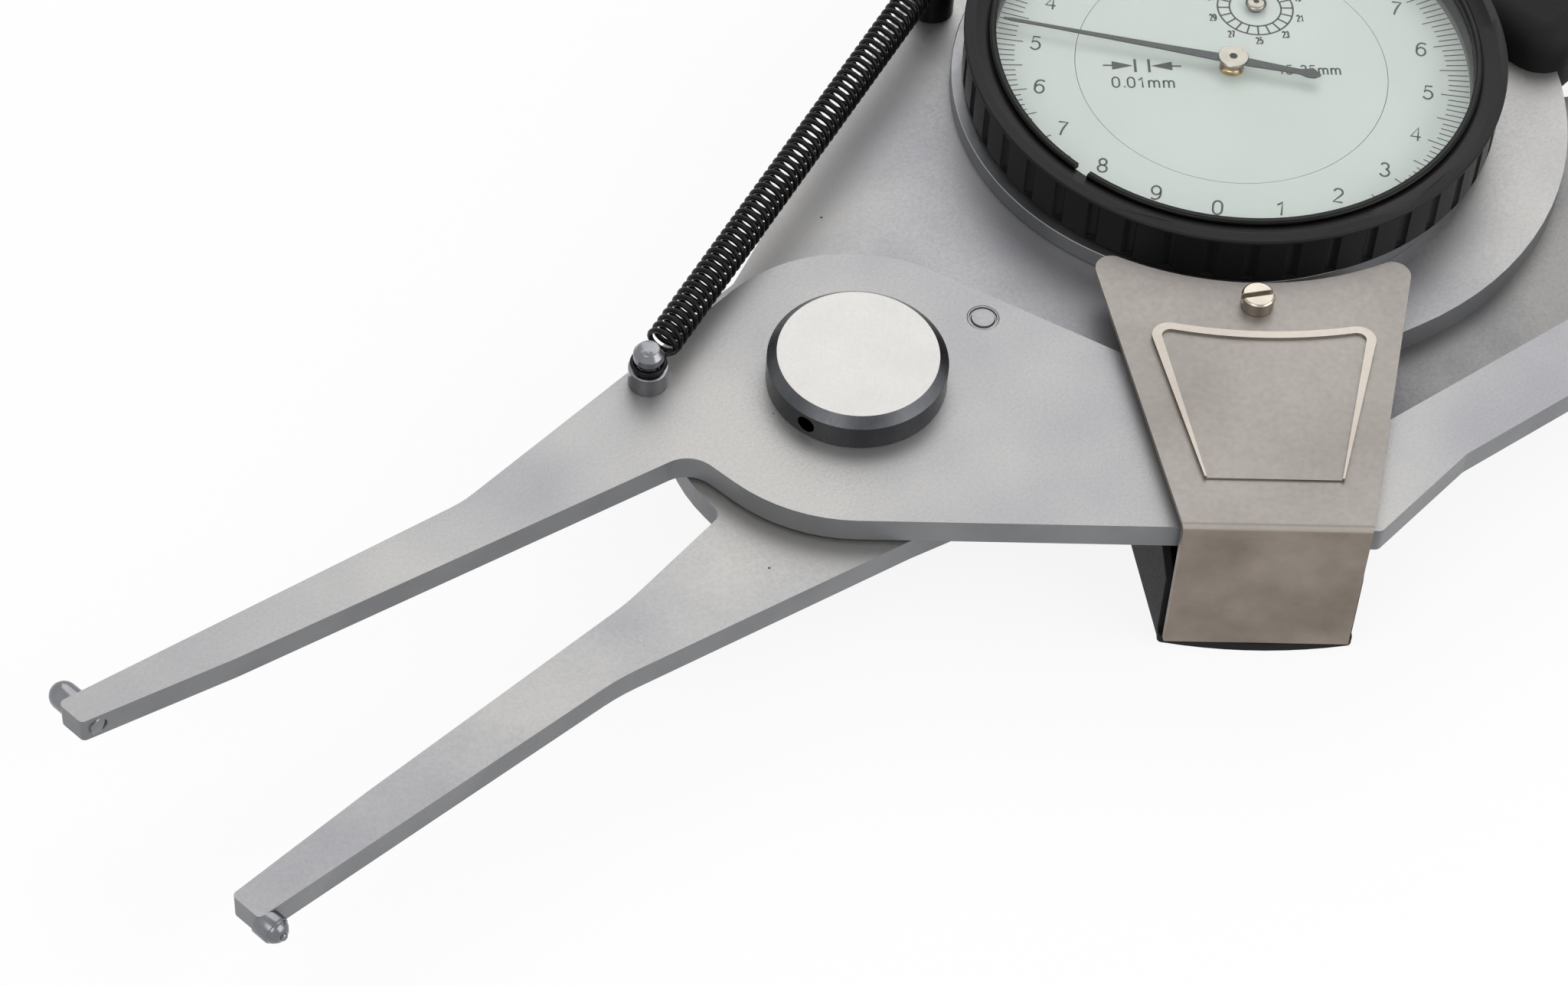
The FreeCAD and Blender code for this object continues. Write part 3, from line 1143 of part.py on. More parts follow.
makeBodyPlate()
makeGuidePlate()
makeBodyGrip()
makeLeverPlate()
makeLeverGrip()
makeBracket()
makeBackCover()
makeDial()
makeSnapRing()
makePivot()
makeLeverPins()
makePosts()
makeContactPins()
makeMovementFrame()
makeGears()
makeSpindle()
makeHands()
makeSprings()
makeScrews()
doc.recompute()

for item in doc.Objects:
    if "Invalid" in item.State or "Error" in item.State:
        raise ValueError("%s failed" % item.Label)
os.makedirs("parts", exist_ok=True)
for node in nodes:
    shape = partFor(node).Shape
    if shape.isNull() or not shape.isValid():
        raise ValueError("%s has no valid shape" % node)
for node in nodes:
    partFor(node).Shape.exportStep("parts/%s.step" % node)
print("wrote", len(nodes), "parts")
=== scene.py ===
import math

import bmesh
import bpy
from mathutils import Matrix, Vector


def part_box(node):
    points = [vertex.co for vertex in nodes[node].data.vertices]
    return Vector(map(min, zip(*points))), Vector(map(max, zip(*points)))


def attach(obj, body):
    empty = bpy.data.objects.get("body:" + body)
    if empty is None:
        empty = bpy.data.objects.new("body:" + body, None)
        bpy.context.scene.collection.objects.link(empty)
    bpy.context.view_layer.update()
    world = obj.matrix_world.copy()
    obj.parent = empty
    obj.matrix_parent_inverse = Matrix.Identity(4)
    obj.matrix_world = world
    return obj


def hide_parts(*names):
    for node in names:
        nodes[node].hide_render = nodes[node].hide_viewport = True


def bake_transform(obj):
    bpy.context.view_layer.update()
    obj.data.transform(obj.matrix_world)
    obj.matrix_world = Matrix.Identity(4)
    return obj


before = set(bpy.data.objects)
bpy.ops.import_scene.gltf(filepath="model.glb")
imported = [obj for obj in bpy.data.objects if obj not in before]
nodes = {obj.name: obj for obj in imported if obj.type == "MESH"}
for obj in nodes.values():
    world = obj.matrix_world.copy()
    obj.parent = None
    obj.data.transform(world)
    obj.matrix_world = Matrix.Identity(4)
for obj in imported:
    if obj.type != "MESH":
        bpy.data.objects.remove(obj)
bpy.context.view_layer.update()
mm = 0.001
print("stage: frame loaded,", len(nodes), "nodes")


def toLinear(hexColour):
    values = [int(hexColour[i:i + 2], 16) / 255 for i in (1, 3, 5)]
    return [v / 12.92 if v <= 0.04045 else ((v + 0.055) / 1.055) ** 2.4 for v in values] + [1.0]


def addNode(tree, kind, inputs=None, stops=None, **settings):
    # settings are the node's own, inputs are values or sockets to link, stops fill a colour ramp
    node = tree.nodes.new(kind)
    for name, value in settings.items():
        setattr(node, name, value)
    for key, value in (inputs or {}).items():
        if isinstance(value, bpy.types.NodeSocket):
            tree.links.new(value, node.inputs[key])
        else:
            node.inputs[key].default_value = value
    for index, (position, colour) in enumerate(stops or []):
        elements = node.color_ramp.elements
        element = elements[index] if index < 2 else elements.new(position)
        element.position = position
        element.color = toLinear(colour)
    return node


def clearedTree(owner):
    owner.use_nodes = True
    owner.node_tree.nodes.clear()
    return owner.node_tree


# Materials

looks = {
    # colours are the two ends of a slow cloud; the sizes of cloud and grain and the grain's depth are in mm
    # real grit, lathe marks and mould grain are too fine to show, so the grain is as coarse as it has to be
    # pits are their distance in mm and their radius as a share of it, mirror is a specular level of its own

    # blasted tool steel: ground, then bead-blasted, so an even grey with faint clouds and a few pits
    "satinBlastedSteel": {"colours": ("#86868A", "#9C9B99"), "cloud": 30, "grain": 0.3, "depth": 0.008,
                          "metallic": 0.8, "roughness": (0.4, 0.5), "pits": (6.0, 0.03)},
    # guide plate: the same steel with painted shade, a tone darker and calmer than the blasted plates, as it
    # lies in their shadow
    "shadedGuideSteel": {"colours": ("#6A6A6D", "#7C7B79"), "cloud": 14, "grain": 0.3, "depth": 0.004,
                         "metallic": 0.8, "roughness": (0.4, 0.5)},
    # cut edges: the plates' ground sides and rounded edges, a duller finish than their faces, and painted
    # darker as shade along the edges
    "groundEdgeWithShade": {"colours": ("#6A6B6D", "#757678"), "cloud": 9, "grain": 0.2, "depth": 0.006,
                        "metallic": 0.25, "roughness": (0.36, 0.46)},
    # blasted knob face: coarse bead blasting leaves a white, faintly sparkling face
    "blastedKnobFace": {"colours": ("#C5C3C0", "#C9C7C4"), "cloud": 5, "grain": 0.22, "depth": 0.012,
                        "metallic": 0.4, "roughness": (0.5, 0.62)},
    # turned steel: fine lathe marks on a dark mirror wall
    "turnedBrightSteel": {"colours": ("#6F7074", "#828387"), "cloud": 4, "grain": 0.4, "depth": 0.0006,
                          "metallic": 1.0, "roughness": (0.16, 0.24)},
    # turned knob wall: lathe marks round the knob draw its highlights out into fans; the turned steel is
    # painted darker here, as a painted reflection of dark surroundings
    "darkReflectionKnobWall": {"colours": ("#47484B", "#545558"), "cloud": 4, "grain": 0.4, "depth": 0.0006,
                       "metallic": 1.0, "roughness": (0.26, 0.32), "lathed": 0.75},
    # polished nickel: a smooth, warm mirror on the hands' caps and hub
    "polishedNickel": {"colours": ("#8D857D", "#989088"), "cloud": 1, "grain": 0.3, "depth": 0.0003,
                       "metallic": 1.0, "roughness": (0.14, 0.2)},
    # nickel sheet: warm plating over a pressed sheet, slightly stained by handling
    "nickelPlatedSheet": {"colours": ("#7D7874", "#898480"), "cloud": 16, "grain": 0.6, "depth": 0.003,
                          "metallic": 0.85, "roughness": (0.42, 0.5)},
    # painted highlight: the plating on the raised rib and on the fold, lighter and glossier to show where
    # they catch the light
    "highlightNickelEdge": {"colours": ("#938C85", "#A09991"), "cloud": 16, "grain": 0.6, "depth": 0.002,
                         "metallic": 0.9, "roughness": (0.3, 0.38)},
    # handled nickel: the bracket's front, where fingers have left paler stains on the plating
    "handledNickelSheet": {"colours": ("#766C62", "#8E847A"), "cloud": 8, "grain": 0.6, "depth": 0.003,
                           "metallic": 0.8, "roughness": (0.4, 0.5)},
    # nickel screw: the same plating, brighter on a turned head
    "nickelPlatedScrew": {"colours": ("#9C958A", "#A9A297"), "cloud": 2, "grain": 0.5, "depth": 0.001,
                          "metallic": 1.0, "roughness": (0.16, 0.24)},
    # ABS moulding: spark-eroded mould grain gives a soft sheen on black
    "blackAbsMoulding": {"colours": ("#1A1A1B", "#1F1F20"), "cloud": 10, "grain": 0.35, "depth": 0.006,
                         "metallic": 0.0, "roughness": (0.55, 0.65), "mirror": 0.1},
    # anodised bezel: turned aluminium dyed black, so a satin black with narrow highlights
    "blackAnodisedBezel": {"colours": ("#191919", "#1E1D1D"), "cloud": 8, "grain": 0.4, "depth": 0.003,
                           "metallic": 0.0, "roughness": (0.3, 0.38), "mirror": 0.12},
    # painted highlight: a grey strip down the sharp corner on one side of each of the bezel's grooves, where
    # the light catches it
    "highlightAnodisedEdge": {"colours": ("#6A6A6A", "#787776"), "cloud": 3, "grain": 0.4, "depth": 0.001,
                         "metallic": 0.5, "roughness": (0.3, 0.38)},
    # spring wire: oil-blackened and glossy
    "blackenedSpringWire": {"colours": ("#0A0A0B", "#111112"), "cloud": 2, "grain": 0.4, "depth": 0.001,
                            "metallic": 0.0, "roughness": (0.2, 0.28), "mirror": 0.14},
    # dial enamel: smooth and matt, so an even pale white with a trace of green
    "enamelledDial": {"colours": ("#D1D4D1", "#D5D8D5"), "cloud": 14, "grain": 0.5, "depth": 0.001,
                      "metallic": 0.0, "roughness": (0.5, 0.58)},
    # moulded seat ring: a dull dark grey line between crystal and dial
    "darkSeatRing": {"colours": ("#3A3B3C", "#454647"), "cloud": 10, "grain": 0.5, "depth": 0.002,
                     "metallic": 0.0, "roughness": (0.45, 0.55)},
    # printing ink: matt, a little uneven in cover
    "printedInk": {"colours": ("#15181B", "#202427"), "cloud": 0.8, "grain": 0.3, "depth": 0.001,
                   "metallic": 0.0, "roughness": (0.5, 0.6)},
    # lacquered hands: dark blue-grey with a soft gloss
    "lacqueredHand": {"colours": ("#1E2225", "#272B2E"), "cloud": 3, "grain": 0.4, "depth": 0.001,
                      "metallic": 0.0, "roughness": (0.36, 0.44), "mirror": 0.3},
    # turned brass: yellow and bright, for the movement
    "turnedBrass": {"colours": ("#AD8A50", "#C8A86C"), "cloud": 4, "grain": 0.5, "depth": 0.001,
                    "metallic": 1.0, "roughness": (0.2, 0.28)},
    # sintered bearing bronze: browner and duller than the brass
    "bearingBronze": {"colours": ("#87602F", "#A37540"), "cloud": 3, "grain": 0.4, "depth": 0.003,
                      "metallic": 1.0, "roughness": (0.32, 0.42)},
    # turned case metal: a light alloy, plain grey with a soft sheen
    "turnedCaseMetal": {"colours": ("#7D7E80", "#8C8D8F"), "cloud": 8, "grain": 0.5, "depth": 0.001,
                        "metallic": 0.9, "roughness": (0.3, 0.38)},
}
patterns = {
    # the stretch of each noise that runs from one end to the other, and how many layers it has
    "cloudEnds": (0.35, 0.65), "cloudDetail": 3.0, "grainEnds": (0.3, 0.7), "grainDetail": 2.0,
    "pitFloor": 0.6, "pitColour": "#6A6A6C", "plainMirror": 0.5,
}


def makeMaterial(name, look):
    material = bpy.data.materials.new(name)
    tree = clearedTree(material)
    place = addNode(tree, "ShaderNodeTexCoord").outputs["Object"]
    cloud = addNode(tree, "ShaderNodeTexNoise", {
        "Vector": place, "Scale": 1 / (look["cloud"] * mm), "Detail": patterns["cloudDetail"]})
    colour = addNode(tree, "ShaderNodeValToRGB", {"Fac": cloud.outputs["Fac"]},
                     stops=zip(patterns["cloudEnds"], look["colours"])).outputs["Color"]
    if "pits" in look:
        gap, radius = look["pits"]
        cells = addNode(tree, "ShaderNodeTexVoronoi", {"Vector": place, "Scale": 1 / (gap * mm)})
        dark = addNode(tree, "ShaderNodeValToRGB", {"Fac": cells.outputs["Distance"]}, stops=[
            (radius * patterns["pitFloor"], patterns["pitColour"]), (radius, "#FFFFFF")])
        both = addNode(tree, "ShaderNodeMix", {0: 1.0, 6: colour, 7: dark.outputs["Color"]},
                       data_type="RGBA", blend_type="MULTIPLY")
        colour = both.outputs[2]
    grain = addNode(tree, "ShaderNodeTexNoise", {
        "Vector": place, "Scale": 1 / (look["grain"] * mm), "Detail": patterns["grainDetail"]})
    rough = addNode(tree, "ShaderNodeMapRange", {
        "Value": grain.outputs["Fac"],
        "From Min": patterns["grainEnds"][0], "From Max": patterns["grainEnds"][1],
        "To Min": look["roughness"][0], "To Max": look["roughness"][1]})
    relief = addNode(tree, "ShaderNodeBump", {
        "Height": grain.outputs["Fac"], "Distance": look["depth"] * mm})
    shader = addNode(tree, "ShaderNodeBsdfPrincipled", {
        "Base Color": colour, "Metallic": look["metallic"], "Roughness": rough.outputs["Result"],
        "Specular IOR Level": look.get("mirror", patterns["plainMirror"]),
        "Normal": relief.outputs["Normal"]})
    if "lathed" in look:
        tangent = addNode(tree, "ShaderNodeTangent", direction_type="RADIAL", axis="Z")
        shader.inputs["Anisotropic"].default_value = look["lathed"]
        tree.links.new(tangent.outputs["Tangent"], shader.inputs["Tangent"])
    addNode(tree, "ShaderNodeOutputMaterial", {"Surface": shader.outputs["BSDF"]})
    return material


crystalLook = {"mirror": 1.2, "clear": "#FCFEFD", "shine": "#FFFFFF", "roughness": 0.02}


def makeCrystal():
    # acrylic crystal: clear, and its polished face mirrors so weakly that its IOR lies below acrylic's 1.49
    material = bpy.data.materials.new("clearAcrylicCrystal")
    tree = clearedTree(material)
    edge = addNode(tree, "ShaderNodeFresnel", {"IOR": crystalLook["mirror"]})
    clear = addNode(tree, "ShaderNodeBsdfTransparent", {"Color": toLinear(crystalLook["clear"])})
    shine = addNode(tree, "ShaderNodeBsdfGlossy", {
        "Color": toLinear(crystalLook["shine"]), "Roughness": crystalLook["roughness"]})
    both = addNode(tree, "ShaderNodeMixShader", {
        0: edge.outputs[0], 1: clear.outputs[0], 2: shine.outputs[0]})
    addNode(tree, "ShaderNodeOutputMaterial", {"Surface": both.outputs[0]})
    return material


finish = {name: makeMaterial(name, look) for name, look in looks.items()}
finish["clearAcrylicCrystal"] = makeCrystal()
print("stage: materials made,", len(finish))

# Pieces

making = {
    "merge": 0.001,         # mm within which doubles are merged
    "flat": 0.5,            # degrees within which faces are joined as flat
    "bevelFrom": 32,        # degrees from which an edge is rounded
    "bevelSteps": 3,
    "sharpFrom": 35,        # degrees from which an edge is shaded sharp
}


def placePiece(piece, body, replaced=()):
    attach(piece, body)
    if replaced:
        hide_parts(*replaced)
    return piece


def newObject(name, data):
    item = bpy.data.objects.new(name, data)
    bpy.context.scene.collection.objects.link(item)
    return item


def newPiece(name, mesh, finishName):
    piece = newObject(name, mesh)
    mesh.materials.clear()
    mesh.materials.append(finish[finishName])
    return piece


def meshFrom(work, name):
    mesh = bpy.data.meshes.new(name)
    work.to_mesh(mesh)
    work.free()
    return mesh


def evaluatedMesh(item):
    # the shape that the item's modifiers give, as a plain mesh
    graph = bpy.context.evaluated_depsgraph_get()
    mesh = bpy.data.meshes.new_from_object(item.evaluated_get(graph), depsgraph=graph)
    mesh.name = item.name
    return mesh


def settle(piece):
    # the piece keeps the evaluated shape and loses its modifiers
    mesh = evaluatedMesh(piece)
    piece.modifiers.clear()
    piece.data = mesh
    return piece


def smoothBy(mesh):
    mesh.shade_smooth()
    mesh.set_sharp_from_angle(angle=math.radians(making["sharpFrom"]))


def cleanCopy(node):
    # a CAD node's triangles, merged, with flat faces joined up again
    work = bmesh.new()
    work.from_mesh(nodes[node].data)
    bmesh.ops.remove_doubles(work, verts=work.verts, dist=making["merge"] * mm)
    bmesh.ops.dissolve_limit(work, angle_limit=math.radians(making["flat"]), verts=work.verts,
                             edges=work.edges)
    mesh = meshFrom(work, node)
    for name in ("custom_normal", "sharp_face", "sharp_edge"):
        if name in mesh.attributes:
            mesh.attributes.remove(mesh.attributes[name])
    return mesh


def dressed(node, name, finishName, edgeRadius, reshape=None):
    # a clean copy of a CAD node with rounded edges, their radius in mm
    piece = newPiece(name, cleanCopy(node), finishName)
    if reshape:
        reshape(piece.data)
    smoothBy(piece.data)
    bevel = piece.modifiers.new("edge", "BEVEL")
    bevel.width = edgeRadius * mm
    bevel.segments = making["bevelSteps"]
    bevel.limit_method = "ANGLE"
    bevel.angle_limit = math.radians(making["bevelFrom"])
    bevel.harden_normals = True
    return settle(piece)


def finishWhere(piece, finishName, test):
    # faces that pass the test get a second finish
    piece.data.materials.append(finish[finishName])
    slot = len(piece.data.materials) - 1
    for face in piece.data.polygons:
        if test(face):
            face.material_index = slot


dressing = {
    # node: piece, body, slot, finish, edge radius in mm
    "body_plate": ("bodyPlate", "root", "satin_steel", "satinBlastedSteel", 0.25),
    # the guide plate's finish is its steel darkened with painted shade
    "guide_plate": ("guidePlate", "root", "satin_steel", "shadedGuideSteel", 0.25),
    "lever_plate": ("leverPlate", "lever", "satin_steel", "satinBlastedSteel", 0.25),
    "body_grip": ("bodyGrip", "root", "black_moulding", "blackAbsMoulding", 0.5),
    "lever_grip": ("leverGrip", "lever", "black_moulding", "blackAbsMoulding", 0.5),
    "back_cover": ("backCover", "root", "black_moulding", "blackAbsMoulding", 0.25),
    "cover_bracket": ("coverBracket", "root", "nickel_sheet", "nickelPlatedSheet", 0.2),
    "bracket_screw": ("bracketScrew", "root", "nickel_sheet", "nickelPlatedScrew", 0.12),
    "case_body": ("caseBody", "root", "case_metal", "turnedCaseMetal", 0.12),
    "pivot_knob": ("pivotKnob", "root", "bright_steel", "darkReflectionKnobWall", 0.1),
    "pivot_washer": ("pivotWasher", "root", "bronze", "bearingBronze", 0.05),
    "spring_post_a": ("springPostA", "lever", "bright_steel", "turnedBrightSteel", 0.1),
    "spring_post_b": ("springPostB", "root", "black_spring", "blackenedSpringWire", 0.15),
    "crystal_seat_ring": ("crystalSeatRing", "bezel", "dial_enamel", "darkSeatRing", 0.05),
    "crystal": ("crystalDisc", "bezel", "clear_crystal", "clearAcrylicCrystal", 0.1),
    "dial_disc": ("dialDisc", "root", "dial_enamel", "enamelledDial", 0.04),
    "dial_scale_ring": ("dialScaleRing", "bezel", "dial_enamel", "enamelledDial", 0.04),
    "back_cover_screws": ("backCoverScrews", "root", "bright_steel", "nickelPlatedScrew", 0.1),
    "body_grip_screws": ("bodyGripScrews", "root", "bright_steel", "nickelPlatedScrew", 0.1),
    "lever_grip_screws": ("leverGripScrews", "lever", "bright_steel", "nickelPlatedScrew", 0.1),
    "guide_screws": ("guideScrews", "root", "bright_steel", "nickelPlatedScrew", 0.1),
}
bracketFace = {
    # distances in mm, along and across the bracket, which points away from the dial's axis
    "turn": 223.1, "top": 20.0, "topRoom": 0.01, "panelTop": 38.4, "panelFoot": 59.0, "ribRoom": 1.2,
    "rootHalf": 18.0, "rootAt": 24.0, "taper": 0.2105, "edgeRoom": 1.2, "spread": 0.12, "shift": 0.4,
}


def widenPanel(mesh):
    # the raised panel spreads wider at its hollow end
    shape = bracketFace
    turn = Matrix.Rotation(math.radians(shape["turn"]), 3, "Z")
    length = shape["panelFoot"] - shape["panelTop"]
    for vertex in mesh.vertices:
        along, across, up = turn.transposed() @ vertex.co / mm
        reach = shape["rootHalf"] - shape["taper"] * (along - shape["rootAt"]) - shape["edgeRoom"]
        within = shape["panelTop"] - shape["ribRoom"] < along < shape["panelFoot"] and abs(across) < reach
        if within and up > shape["top"] - shape["topRoom"]:
            share = min(1, (shape["panelFoot"] - along) / length)
            across += share * (shape["spread"] * across + shape["shift"])
            vertex.co = turn @ (Vector((along, across, up)) * mm)


pieces = {}
for node, (name, body, slot, finishName, edgeRadius) in dressing.items():
    reshape = widenPanel if node == "cover_bracket" else None
    piece = dressed(node, name, finishName, edgeRadius, reshape)
    pieces[name] = placePiece(piece, body, [node])

# Second finishes, by how far a face looks up, where 1 is level and 0 upright, and by its height in mm

secondFinish = {
    "frontBelow": 0.5, "cutEdgeBelow": 0.97, "ribBetween": (0.6, 0.92), "ribLift": 0.3, "knobDepth": 0.02,
}


def paintedHighlightFaces(face):
    # the slopes of the rib and of the fold, and what stands above the bracket's top, which carry the painted
    # highlight
    steep, level = secondFinish["ribBetween"]
    ribHeight = (bracketFace["top"] + secondFinish["ribLift"]) * mm
    return steep < face.normal.z < level or face.center.z > ribHeight


finishWhere(pieces["coverBracket"], "handledNickelSheet",
            lambda face: abs(face.normal.z) < secondFinish["frontBelow"])
# the rib and the fold get a painted highlight
finishWhere(pieces["coverBracket"], "highlightNickelEdge", paintedHighlightFaces)
# the plates' sides and edge roundings: a ground finish with painted shade
for name in ("bodyPlate", "leverPlate", "guidePlate"):
    finishWhere(pieces[name], "groundEdgeWithShade",
                lambda face: abs(face.normal.z) < secondFinish["cutEdgeBelow"])
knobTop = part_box("pivot_knob")[1].z
finishWhere(pieces["pivotKnob"], "blastedKnobFace",
            lambda face: face.center.z > knobTop - secondFinish["knobDepth"] * mm)
print("stage: plates, grips, cover and case dressed")

# Bezel: its bore opens in a cone above the crystal, up to a crest inside the rounded lip

bezelShape = {
    # in mm: what stands above lipFrom is moved out to the crest, or sinks where it lies beyond the bore
    "edge": 0.14, "coneFoot": 22.64, "lipFrom": 23.3, "boreWithin": 27.5, "crest": 28.4, "lipFall": 0.28,
    # highlight strips: at least this far out, upright, narrow, and facing one way round
    "highlightFrom": 29.3, "highlightLean": 0.2, "highlightArea": 0.7, "highlightSide": 0.3,
}


def openCone(mesh):
    work = bmesh.new()
    work.from_mesh(mesh)
    bmesh.ops.bisect_plane(work, geom=work.verts[:] + work.edges[:] + work.faces[:],
                           plane_co=(0, 0, bezelShape["coneFoot"] * mm), plane_no=(0, 0, 1))
    for vertex in work.verts:
        radius = math.hypot(vertex.co.x, vertex.co.y)
        onLip = vertex.co.z > bezelShape["lipFrom"] * mm
        if onLip and radius < bezelShape["boreWithin"] * mm:
            grow = bezelShape["crest"] * mm / radius
            vertex.co.x *= grow
            vertex.co.y *= grow
        elif onLip:
            vertex.co.z -= bezelShape["lipFall"] * mm
    work.to_mesh(mesh)
    work.free()


def highlightStrip(face):
    # the narrow rounded strips down one side of each groove, painted grey as a highlight
    out = Vector((face.center.x, face.center.y, 0))
    strip = abs(face.normal.z) < bezelShape["highlightLean"] and face.area < bezelShape["highlightArea"] * mm * mm
    return (strip and out.length > bezelShape["highlightFrom"] * mm
            and out.cross(face.normal).z > bezelShape["highlightSide"] * out.length)


bezelRing = dressed("bezel", "bezelRing", "blackAnodisedBezel", bezelShape["edge"], openCone)
# one side of each groove gets a painted highlight
finishWhere(bezelRing, "highlightAnodisedEdge", highlightStrip)
placePiece(bezelRing, "bezel", ["bezel"])
print("stage: bezel made")

# Nodes that stay as they are, each with its own finish

keptFinish = {
    "turnedBrightSteel": ["pivot_stud", "drive_pin", "bracket_spacer", "centre_pinion", "rack_pinion",
                          "rack_spindle", "spindle_anvil", "spindle_pin", "spindle_spring"],
    "turnedBrass": ["counter_wheel", "lower_movement_plate", "upper_movement_plate", "movement_pillars",
                    "movement_nuts", "front_spindle_bush", "rear_spindle_bush"],
    "bearingBronze": ["lever_bush"],
}
for finishName, members in keptFinish.items():
    for member in members:
        slots = nodes[member].data.materials
        slots.clear()
        slots.append(finish[finishName])
print("stage: inner nodes finished")

# Node trees for what repeats


def newTree(name, sockets):
    # sockets: name, type, value of each input; every tree takes and gives geometry
    tree = bpy.data.node_groups.new(name, "GeometryNodeTree")
    tree.interface.new_socket("Geometry", in_out="OUTPUT", socket_type="NodeSocketGeometry")
    tree.interface.new_socket("Geometry", in_out="INPUT", socket_type="NodeSocketGeometry")
    for label, kind, value in sockets:
        socket = tree.interface.new_socket(label, in_out="INPUT", socket_type="NodeSocket" + kind)
        if value is not None:
            socket.default_value = value
    return tree, addNode(tree, "NodeGroupInput").outputs


def joinedWith(tree, given, geometry):
    # what the tree was given, with the new geometry beside it
    joined = addNode(tree, "GeometryNodeJoinGeometry", {0: geometry})
    tree.links.new(given["Geometry"], joined.inputs[0])
    return joined.outputs[0]


def closeTree(tree, geometry, surface):
    whole = addNode(tree, "GeometryNodeRealizeInstances", {"Geometry": geometry})
    painted = addNode(tree, "GeometryNodeSetMaterial", {"Geometry": whole.outputs[0], "Material": surface})
    addNode(tree, "NodeGroupOutput", {"Geometry": painted.outputs[0]})
    return tree


def runTree(piece, tree, values):
    modifier = piece.modifiers.new(tree.name, "NODES")
    modifier.node_group = tree
    for item in tree.interface.items_tree:
        if item.in_out == "INPUT" and item.name in values:
            modifier[item.identifier] = values[item.name]


def makeTickTree():
    # flat bars on a ring, each pointing at its centre
    tree, given = newTree("tickRing", [
        ("Count", "Int", 20), ("Inner", "Float", 0.01), ("Outer", "Float", 0.012),
        ("Width", "Float", 0.0001), ("Thick", "Float", 0.00002), ("Turn", "Float", 0.0),
        ("Centre", "Vector", None), ("Ink", "Material", None)])
    middle = addNode(tree, "ShaderNodeMath", {0: given["Inner"], 1: given["Outer"]}, operation="ADD")
    radius = addNode(tree, "ShaderNodeMath", {0: middle.outputs[0], 1: 0.5}, operation="MULTIPLY")
    ring = addNode(tree, "GeometryNodeMeshCircle", {
        "Vertices": given["Count"], "Radius": radius.outputs[0]})
    length = addNode(tree, "ShaderNodeMath", {0: given["Outer"], 1: given["Inner"]}, operation="SUBTRACT")
    block = addNode(tree, "ShaderNodeCombineXYZ", {
        0: length.outputs[0], 1: given["Width"], 2: given["Thick"]})
    bar = addNode(tree, "GeometryNodeMeshCube", {"Size": block.outputs[0]})
    step = addNode(tree, "ShaderNodeMath", {0: math.tau, 1: given["Count"]}, operation="DIVIDE")
    index = addNode(tree, "GeometryNodeInputIndex").outputs[0]
    angle = addNode(tree, "ShaderNodeMath", {0: index, 1: step.outputs[0]}, operation="MULTIPLY")
    facing = addNode(tree, "ShaderNodeCombineXYZ", {2: angle.outputs[0]})
    bars = addNode(tree, "GeometryNodeInstanceOnPoints", {
        "Points": ring.outputs[0], "Instance": bar.outputs[0], "Rotation": facing.outputs[0]})
    turned = addNode(tree, "ShaderNodeCombineXYZ", {2: given["Turn"]})
    placed = addNode(tree, "GeometryNodeTransform", {
        "Geometry": bars.outputs[0], "Translation": given["Centre"], "Rotation": turned.outputs[0]})
    return closeTree(tree, joinedWith(tree, given, placed.outputs[0]), given["Ink"])


def makeRibbonTree():
    # a flat ribbon along every stroke
    tree, given = newTree("inkRibbon", [
        ("Width", "Float", 0.0001), ("Thick", "Float", 0.00002), ("Ink", "Material", None)])
    profile = addNode(tree, "GeometryNodeCurvePrimitiveQuadrilateral", {
        0: given["Width"], 1: given["Thick"]})
    upright = addNode(tree, "GeometryNodeSetCurveNormal", {"Curve": given["Geometry"]}, mode="Z_UP")
    ribbon = addNode(tree, "GeometryNodeCurveToMesh", {
        "Curve": upright.outputs[0], "Profile Curve": profile.outputs[0], "Fill Caps": True})
    return closeTree(tree, ribbon.outputs[0], given["Ink"])


def makeCoilTree():
    # a helix and its hooks, swept with one round wire
    tree, given = newTree("coilSpring", [
        ("Turns", "Float", 10.0), ("Steps", "Int", 20), ("Radius", "Float", 0.001),
        ("Length", "Float", 0.01), ("Wire", "Float", 0.0003), ("Sides", "Int", 10),
        ("Start", "Vector", None), ("Facing", "Vector", None), ("Metal", "Material", None)])
    helix = addNode(tree, "GeometryNodeCurveSpiral", {
        "Resolution": given["Steps"], "Rotations": given["Turns"], "Start Radius": given["Radius"],
        "End Radius": given["Radius"], "Height": given["Length"]})
    placed = addNode(tree, "GeometryNodeTransform", {
        "Geometry": helix.outputs[0], "Translation": given["Start"], "Rotation": given["Facing"]})
    profile = addNode(tree, "GeometryNodeCurvePrimitiveCircle", {
        "Resolution": given["Sides"], "Radius": given["Wire"]})
    swept = addNode(tree, "GeometryNodeCurveToMesh", {
        "Curve": joinedWith(tree, given, placed.outputs[0]), "Profile Curve": profile.outputs[0],
        "Fill Caps": True})
    smooth = addNode(tree, "GeometryNodeSetShadeSmooth", {"Geometry": swept.outputs[0]})
    return closeTree(tree, smooth.outputs[0], given["Metal"])


tickTree, ribbonTree, coilTree = makeTickTree(), makeRibbonTree(), makeCoilTree()


def strokeObject(name, strokes):
    # strokes are lists of points, kept as straight-sided splines
    curve = bpy.data.curves.new(name, "CURVE")
    curve.dimensions = "3D"
    for stroke in strokes:
        spline = curve.splines.new("POLY")
        spline.points.add(len(stroke) - 1)
        for point, place in zip(spline.points, stroke):
            point.co = (*place, 1.0)
    return newObject(name, curve)


def sweptPiece(name, strokes, tree, values, finishName):
    # the swept strokes become a piece of their own and the splines go
    item = strokeObject(name, strokes)
    runTree(item, tree, values)
    mesh = evaluatedMesh(item)
    bpy.data.objects.remove(item)
    return newPiece(name, mesh, finishName)


